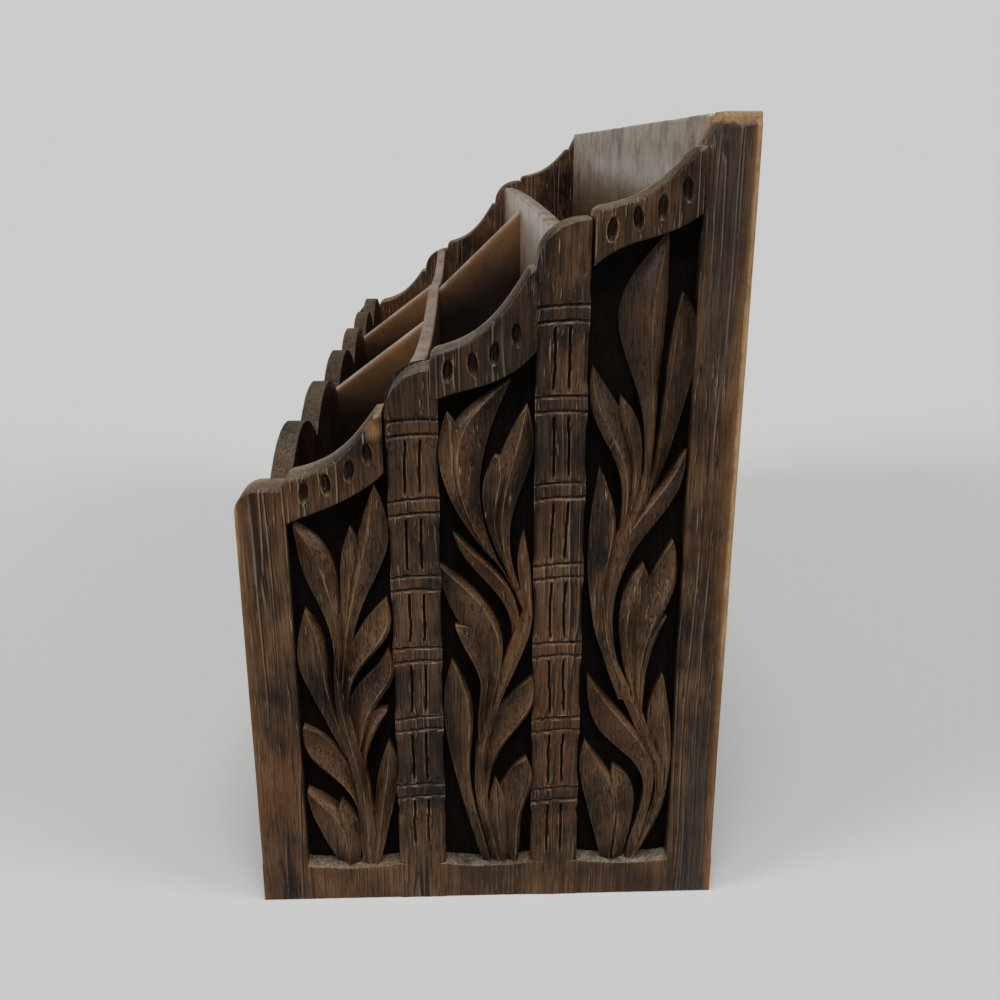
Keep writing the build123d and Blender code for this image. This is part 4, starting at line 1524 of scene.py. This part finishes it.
# --- Boards ---
@dataclass
class ScallopedBoard:
    """A board across the box whose top edge rises or dips in equal bows."""

    node: str
    near: float
    thickness: float
    low: float
    top: float
    bows: int
    rise: float
    shading: float = 0.85
    sheen: float = 0.0
    bevel: float = 0.7
    half_length: float = SIZES.inner_half + 0.3

    SIZE_NAMES = ("Length", "Near", "Thickness", "Low", "Top", "Bows", "Rise")

    @staticmethod
    def tree(material: bpy.types.Material) -> ShapeTree:
        """Build the geometry tree of every scalloped board; its sizes are in millimetres.

        Args:
            material: the boards' finish.

        Returns:
            The tree.
        """
        shape = ShapeTree("scalloped_board", ScallopedBoard.SIZE_NAMES)
        bench = shape.bench
        length, near, thickness, low, high, bows, rise = shape.size.values()
        bar = shape.bar((1.0, 1.0, 1.0), (361, 2, 16))
        x, y, z = shape.position()
        beat = ((x + 0.5) * 0.99999 * bows).wrap(1.0, 0.0) * 2.0 - 1.0
        waver = (bench.noise(bench.point(x * 14.0, near)) - 0.5) * 0.5
        top = high + rise * (1.0 - beat * beat) + waver - 0.25
        place = (x * length, near + (y + 0.5) * thickness, low + ((z + 0.5) ** 0.6) * (top - low))
        shape.close(bar, place, material)
        return shape

    def build(self, wood: bpy.types.Material, tree: ShapeTree) -> list[bpy.types.Object]:
        """Build the board.

        Args:
            wood: its finish.
            tree: the tree of every scalloped board.

        Returns:
            The finished objects.
        """
        plan = (self.half_length * 2, self.near, self.thickness)
        profile = (self.low, self.top, self.bows, self.rise)
        mesh = tree.mesh(f"{self.node}_board", (*plan, *profile), self.bevel)
        mesh.materials.clear()
        mesh.materials.append(wood)
        piece = finished(mesh)
        paint(piece, "wear", exposed_edges(piece))
        _, y, z = places_of(piece).T
        # Painted shade deeper below the top, and a painted sheen on the upper part of the near face.
        depth = self.top - z
        paint(piece, "shade", self.shading * step(depth, 4.0, 48.0))
        paint(piece, "dusty", self.sheen * (1 - step(depth, 0.0, 34.0)) * (y < self.near + 1.0))
        return [piece]


@dataclass
class FrontPanel:
    """The front board: a crest of arches over six sunk bays of leaves."""

    node: str = "front_panel"
    relief: float = 2.2
    border: float = 8.0
    spray_stretch: float = 0.02463
    spray_height: float = 0.88
    spray_middle: float = 35.8
    clearance: float = 0.35
    overlap: float = 0.3
    wall: float = 0.45
    soft: float = 0.5
    grid: tuple[int, int] = (96, 150)
    smooth_below: float = 32.0

    def _bay(self, number: int) -> np.ndarray:
        """The face of the board over one bay.

        Args:
            number: which bay, counted from the left-hand end.

        Returns:
            Grid of (x, y, z), as if the board faced +X.
        """
        near, far = SIZES.notches[number : number + 2]
        pitch = far - near
        columns, rows = self.grid
        across = near + pitch * crowded(columns, 0.2)
        across[0] -= self.overlap * (number == 0)
        across[-1] += self.overlap * (number == len(SIZES.notches) - 2)
        beat = 2 * np.clip((across - near) / pitch, 0, 1) - 1
        crest = SIZES.notch_height + SIZES.arch_rise * (1 - beat * beat) - self.clearance
        y, z = np.moveaxis(upright_grid(across, 0.0, crest, np.linspace(0, 1, rows)), -1, 0)
        edge = self.border / pitch
        bay_top = SIZES.notch_height - self.border
        bay_top = bay_top + SIZES.arch_rise * 0.8 * np.maximum(0, 1 - (beat / (1 - edge)) ** 2)
        inside = np.minimum((1 - edge - abs(beat)) * pitch / 2, np.minimum(z - SIZES.rail, bay_top - z))
        x = 0.08 * uneven(y, z, 0.0, 5.0, 17.0) - self.relief * np.clip(inside / self.wall + 0.5, 0, 1)
        x -= self.soft * np.maximum(0, 1 - (crest - z)) ** 2
        return np.dstack([np.minimum(x, 0) - SIZES.front_face, y, z])

    def build(self, wood: bpy.types.Material) -> list[bpy.types.Object]:
        """Build the board and its sprays.

        Args:
            wood: finish of the board.

        Returns:
            The finished objects.
        """
        drafts = {"crest": Draft(), "leaves": Draft()}
        for number, (near, far) in enumerate(zip(SIZES.notches, SIZES.notches[1:])):
            drafts["crest"].add_slab(self._bay(number), (-SIZES.front_inner, 0.0))
            stretch = (1 if number % 2 else -1) * self.spray_stretch * (far - near)
            shape = (stretch, self.spray_height, (near + far) / 2 + stretch * self.spray_middle)
            SPRAYS[0].add_to(drafts["leaves"], -SIZES.front_face, self.relief, shape)
        pieces = []
        for label, draft in drafts.items():
            piece = draft.turned_to_front().piece(f"{self.node}_{label}", wood, self.smooth_below)
            paint(piece, "wear", exposed_edges(piece) * 0.3)
            paint(piece, "clean", 0.55)
            _, y, z = places_of(piece).T
            # Painted shade: darker with depth in the bays, darker over the whole board, and stronger on
            # faces in front of the outer face below the crest.
            sunk = (y - SIZES.front_face) / self.relief
            paint(piece, "hollow", np.where(abs(sunk) < 1.2, abs(sunk), 0))
            paint(piece, "shade", 0.25 + 0.6 * (sunk < -1.2) * (1 - step(z, 60, 112)))
            pieces.append(piece)
        return pieces


@dataclass
class Partition:
    """A small board between two rows whose top slopes up to the back."""

    node: str
    x: float
    near: float
    far: float
    low_top: float
    high_top: float
    clearance: float = 0.05
    embed: float = 0.3
    bevel: float = 0.5
    grid: tuple[int, int] = (30, 40)

    def build(self, wood: bpy.types.Material) -> list[bpy.types.Object]:
        """Build the partition.

        Args:
            wood: its finish.

        Returns:
            The finished objects.
        """
        half = SIZES.divider / 2 - self.clearance
        columns, rows = self.grid
        share = np.linspace(0, 1, columns)
        across = self.near + (self.far - self.near) * share
        top = self.low_top + (self.high_top - self.low_top) * share - 0.2
        low = SIZES.floor_top - self.embed
        y, z = np.moveaxis(upright_grid(across, low, top, crowded(rows, 0.6)), -1, 0)
        soft = 0.7 * np.maximum(0, 1 - (top - z) / 0.8) ** 2
        face = self.x + half - soft - 0.05 * uneven(y, z, self.x, 8.0)
        draft = Draft()
        back = self.x - half
        draft.add_slab(np.dstack([face, y, z]), (back + self.bevel, 0.0), (back, self.bevel))
        piece = draft.piece(f"{self.node}_board", wood)
        paint(piece, "wear", exposed_edges(piece))
        _, y, z = places_of(piece).T
        slope = (self.high_top - self.low_top) / (self.far - self.near)
        below = self.low_top + slope * (y - self.near) - z
        # Painted shade: darker with depth below the top and towards the front; the rest is painted lit
        # with a warm glow, and the top edge gets a painted highlight.
        painted_shade = step(below + 0.35 * (self.far - y), 3.0, 25.0)
        paint(piece, "shade", 0.97 * painted_shade)
        paint(piece, "bare", 0.36 * (1 - painted_shade))
        paint(piece, "dusty", 0.8 * (1 - step(below, 0.3, 1.1)))
        return [piece]


# --- Studio ---
@dataclass
class Studio:
    """Pale paper floor, soft lamps and the camera.

    A lamp is given by its strength, by how many degrees wide it looks from the box and by the
    direction it shines from.
    """

    camera_place: tuple[float, float, float] = (0.403457, -0.004818, 0.191575)
    yaw: float = 0.0331
    pitch: float = 0.3172
    lens: float = 38.18
    clip_start: float = 0.01
    clip_end: float = 100.0
    ambient: float = 0.11
    backdrop: float = 0.60
    mirrored: float = 0.15
    reach: float = 30.0
    lamps: tuple[tuple[str, float, float, tuple[float, float, float]], ...] = (
        ("roof_light", 2.6, 34.0, (0.42, 0.0, 1.0)),
        ("front_light", 1.3, 26.0, (0.40, -1.0, 0.55)),
        ("back_light", 1.0, 26.0, (0.34, 1.0, 0.55)),
    )

    def build(self) -> None:
        """Set up the floor, the light and the camera."""
        self._floor()
        self._world()
        for name, strength, spread, place in self.lamps:
            light = bpy.data.lights.new(name, "SUN")
            light.energy, light.angle = strength, math.radians(spread)
            self._aim(linked(name, light), place, -Vector(place))
        self._camera()

    def _aim(self, piece: bpy.types.Object, place: Sequence[float], ahead: Vector) -> None:
        """Put a lamp or the camera in its place and turn it to look ahead."""
        piece.location = place
        piece.rotation_euler = ahead.to_track_quat("-Z", "Y").to_euler()

    def _floor(self) -> None:
        """Lay a large sheet of paper under the box."""
        mesh = bpy.data.meshes.new("paper_floor")
        far = self.reach
        corners = [(-far, -far, 0.0), (far, -far, 0.0), (far, far, 0.0), (-far, far, 0.0)]
        mesh.from_pydata(corners, [], [(0, 1, 2, 3)])
        mesh.materials.append(PaperFloor().material())
        linked("paper_floor", mesh)

    def _world(self) -> None:
        """Light the room evenly and show it white to the camera."""
        world = bpy.data.worlds.new("pale_room")
        bpy.context.scene.world = world
        world.use_nodes = True
        bench = Bench(world.node_tree)
        camera, glossy = (
            bench.signal("ShaderNodeLightPath", None, None, f"Is {ray} Ray")
            for ray in ("Camera", "Glossy")
        )
        seen = camera.most(glossy * self.mirrored)
        strength = self.ambient + seen * (self.backdrop - self.ambient)
        values = {"Color": (1.0, 1.0, 1.0), "Strength": strength}
        glow = bench.signal("ShaderNodeBackground", None, values)
        bench.node("ShaderNodeOutputWorld", None, {"Surface": glow})

    def _camera(self) -> None:
        """Place the camera level, looking down at the right-hand panel."""
        data = bpy.data.cameras.new("camera")
        data.lens, data.sensor_width = self.lens, 36.0
        data.clip_start, data.clip_end = self.clip_start, self.clip_end
        flat = math.cos(self.pitch)
        ahead = (-math.cos(self.yaw) * flat, math.sin(self.yaw) * flat, -math.sin(self.pitch))
        camera = linked("camera", data)
        self._aim(camera, self.camera_place, Vector(ahead))
        bpy.context.scene.camera = camera


# --- The whole box ---
CARVED = "carved_hardwood"
BOARD = "board_hardwood"
GROUND = "blackened_and_shaded_ground"

CARVED_FINISH = HardwoodFinish(CARVED, Grain.UPRIGHT)
BOARD_FINISH = HardwoodFinish(
    BOARD,
    Grain.LENGTHWISE,
    deep=(0.046, 0.021, 0.009),
    body=(0.125, 0.062, 0.027),
    light=(0.190, 0.102, 0.047),
    rust=(0.150, 0.062, 0.022),
    dust_and_sheen=(0.42, 0.36, 0.29),
    glint=(0.150, 0.090, 0.050),
    streaks=(150.0, 9.0, 3.0, 0.6),
    pore_depth=0.25,
    splitting=0.15,
    grit=0.0,
    patchiness=0.4,
    rusty=0.35,
    bump=0.1,
    coat=0.5,
    roughness=0.5,
)
# The sunk grounds are stained black, and their colours are darkened further for painted shade deep in
# the windows.
GROUND_FINISH = HardwoodFinish(
    GROUND,
    Grain.UPRIGHT,
    deep=(0.004, 0.003, 0.0024),
    body=(0.0085, 0.0064, 0.0052),
    light=(0.018, 0.013, 0.010),
    rust=(0.010, 0.006, 0.0045),
    glint=(0.02, 0.016, 0.013),
    gloss=0.05,
    coat=0.0,
    roughness=0.9,
    upward_dust_and_sheen=0.1,
)


@dataclass
class LetterBox:
    """The letter box: two carved ends, a carved front and plain boards between them."""

    scalloped: tuple[ScallopedBoard, ...] = (
        ScallopedBoard(
            "front_row_divider", SIZES.front_divider, SIZES.divider, SIZES.divider_foot,
            top=144.4, bows=2, rise=-4.6, shading=0.93,
        ),
        ScallopedBoard(
            "rear_row_divider", SIZES.rear_divider, SIZES.divider, SIZES.divider_foot,
            top=174.7, bows=1, rise=1.6, shading=0.93, sheen=0.8,
        ),
        ScallopedBoard(
            "back_panel", SIZES.back_inner, SIZES.back_thickness, 0.3,
            top=SIZES.height, bows=1, rise=0.0, shading=0.3, sheen=1.55,
        ),
    )
    partitions: tuple[Partition, ...] = (
        Partition("front_partition_left", SIZES.notches[2], -48.9, -17.8, 115.3, 138.3),
        Partition("front_partition_right", SIZES.notches[4], -48.9, -17.8, 115.3, 138.3),
        Partition("middle_row_partition", 0.0, -14.7, 16.4, 142.6, 172.1),
    )

    def build(self, base_board: bpy.types.Object) -> None:
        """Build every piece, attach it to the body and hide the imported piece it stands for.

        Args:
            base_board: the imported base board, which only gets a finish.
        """
        carved, boards, ground = (
            finish.material() for finish in (CARVED_FINISH, BOARD_FINISH, GROUND_FINISH)
        )
        cane_tree = CanePost.tree(carved)
        board_tree = ScallopedBoard.tree(boards)
        for side in Side:
            panel = SidePanel(side)
            self._hand_over(panel.node, panel.build(carved, ground, cane_tree))
        front = FrontPanel()
        self._hand_over(front.node, front.build(carved))
        for board in self.scalloped:
            self._hand_over(board.node, board.build(boards, board_tree))
        for partition in self.partitions:
            self._hand_over(partition.node, partition.build(boards))
        for slot in base_board.material_slots:
            slot.material = boards

    def _hand_over(self, node: str, pieces: list[bpy.types.Object]) -> None:
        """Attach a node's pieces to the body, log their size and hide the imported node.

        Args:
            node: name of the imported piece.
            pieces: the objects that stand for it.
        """
        for piece in pieces:
            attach(piece, BODY)
            triangles = sum(len(face.vertices) - 2 for face in piece.data.polygons)
            log.info("%s: %d triangles", piece.name, triangles)
            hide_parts(node)


def main() -> None:
    """Load the frame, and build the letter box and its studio."""
    logging.basicConfig(level=logging.INFO, format="%(name)s %(message)s")
    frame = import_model()
    LetterBox().build(frame["nodes"]["base_board"])
    Studio().build()
    bpy.context.scene.view_settings.view_transform = "Standard"


if __name__ == "__main__":
    main()
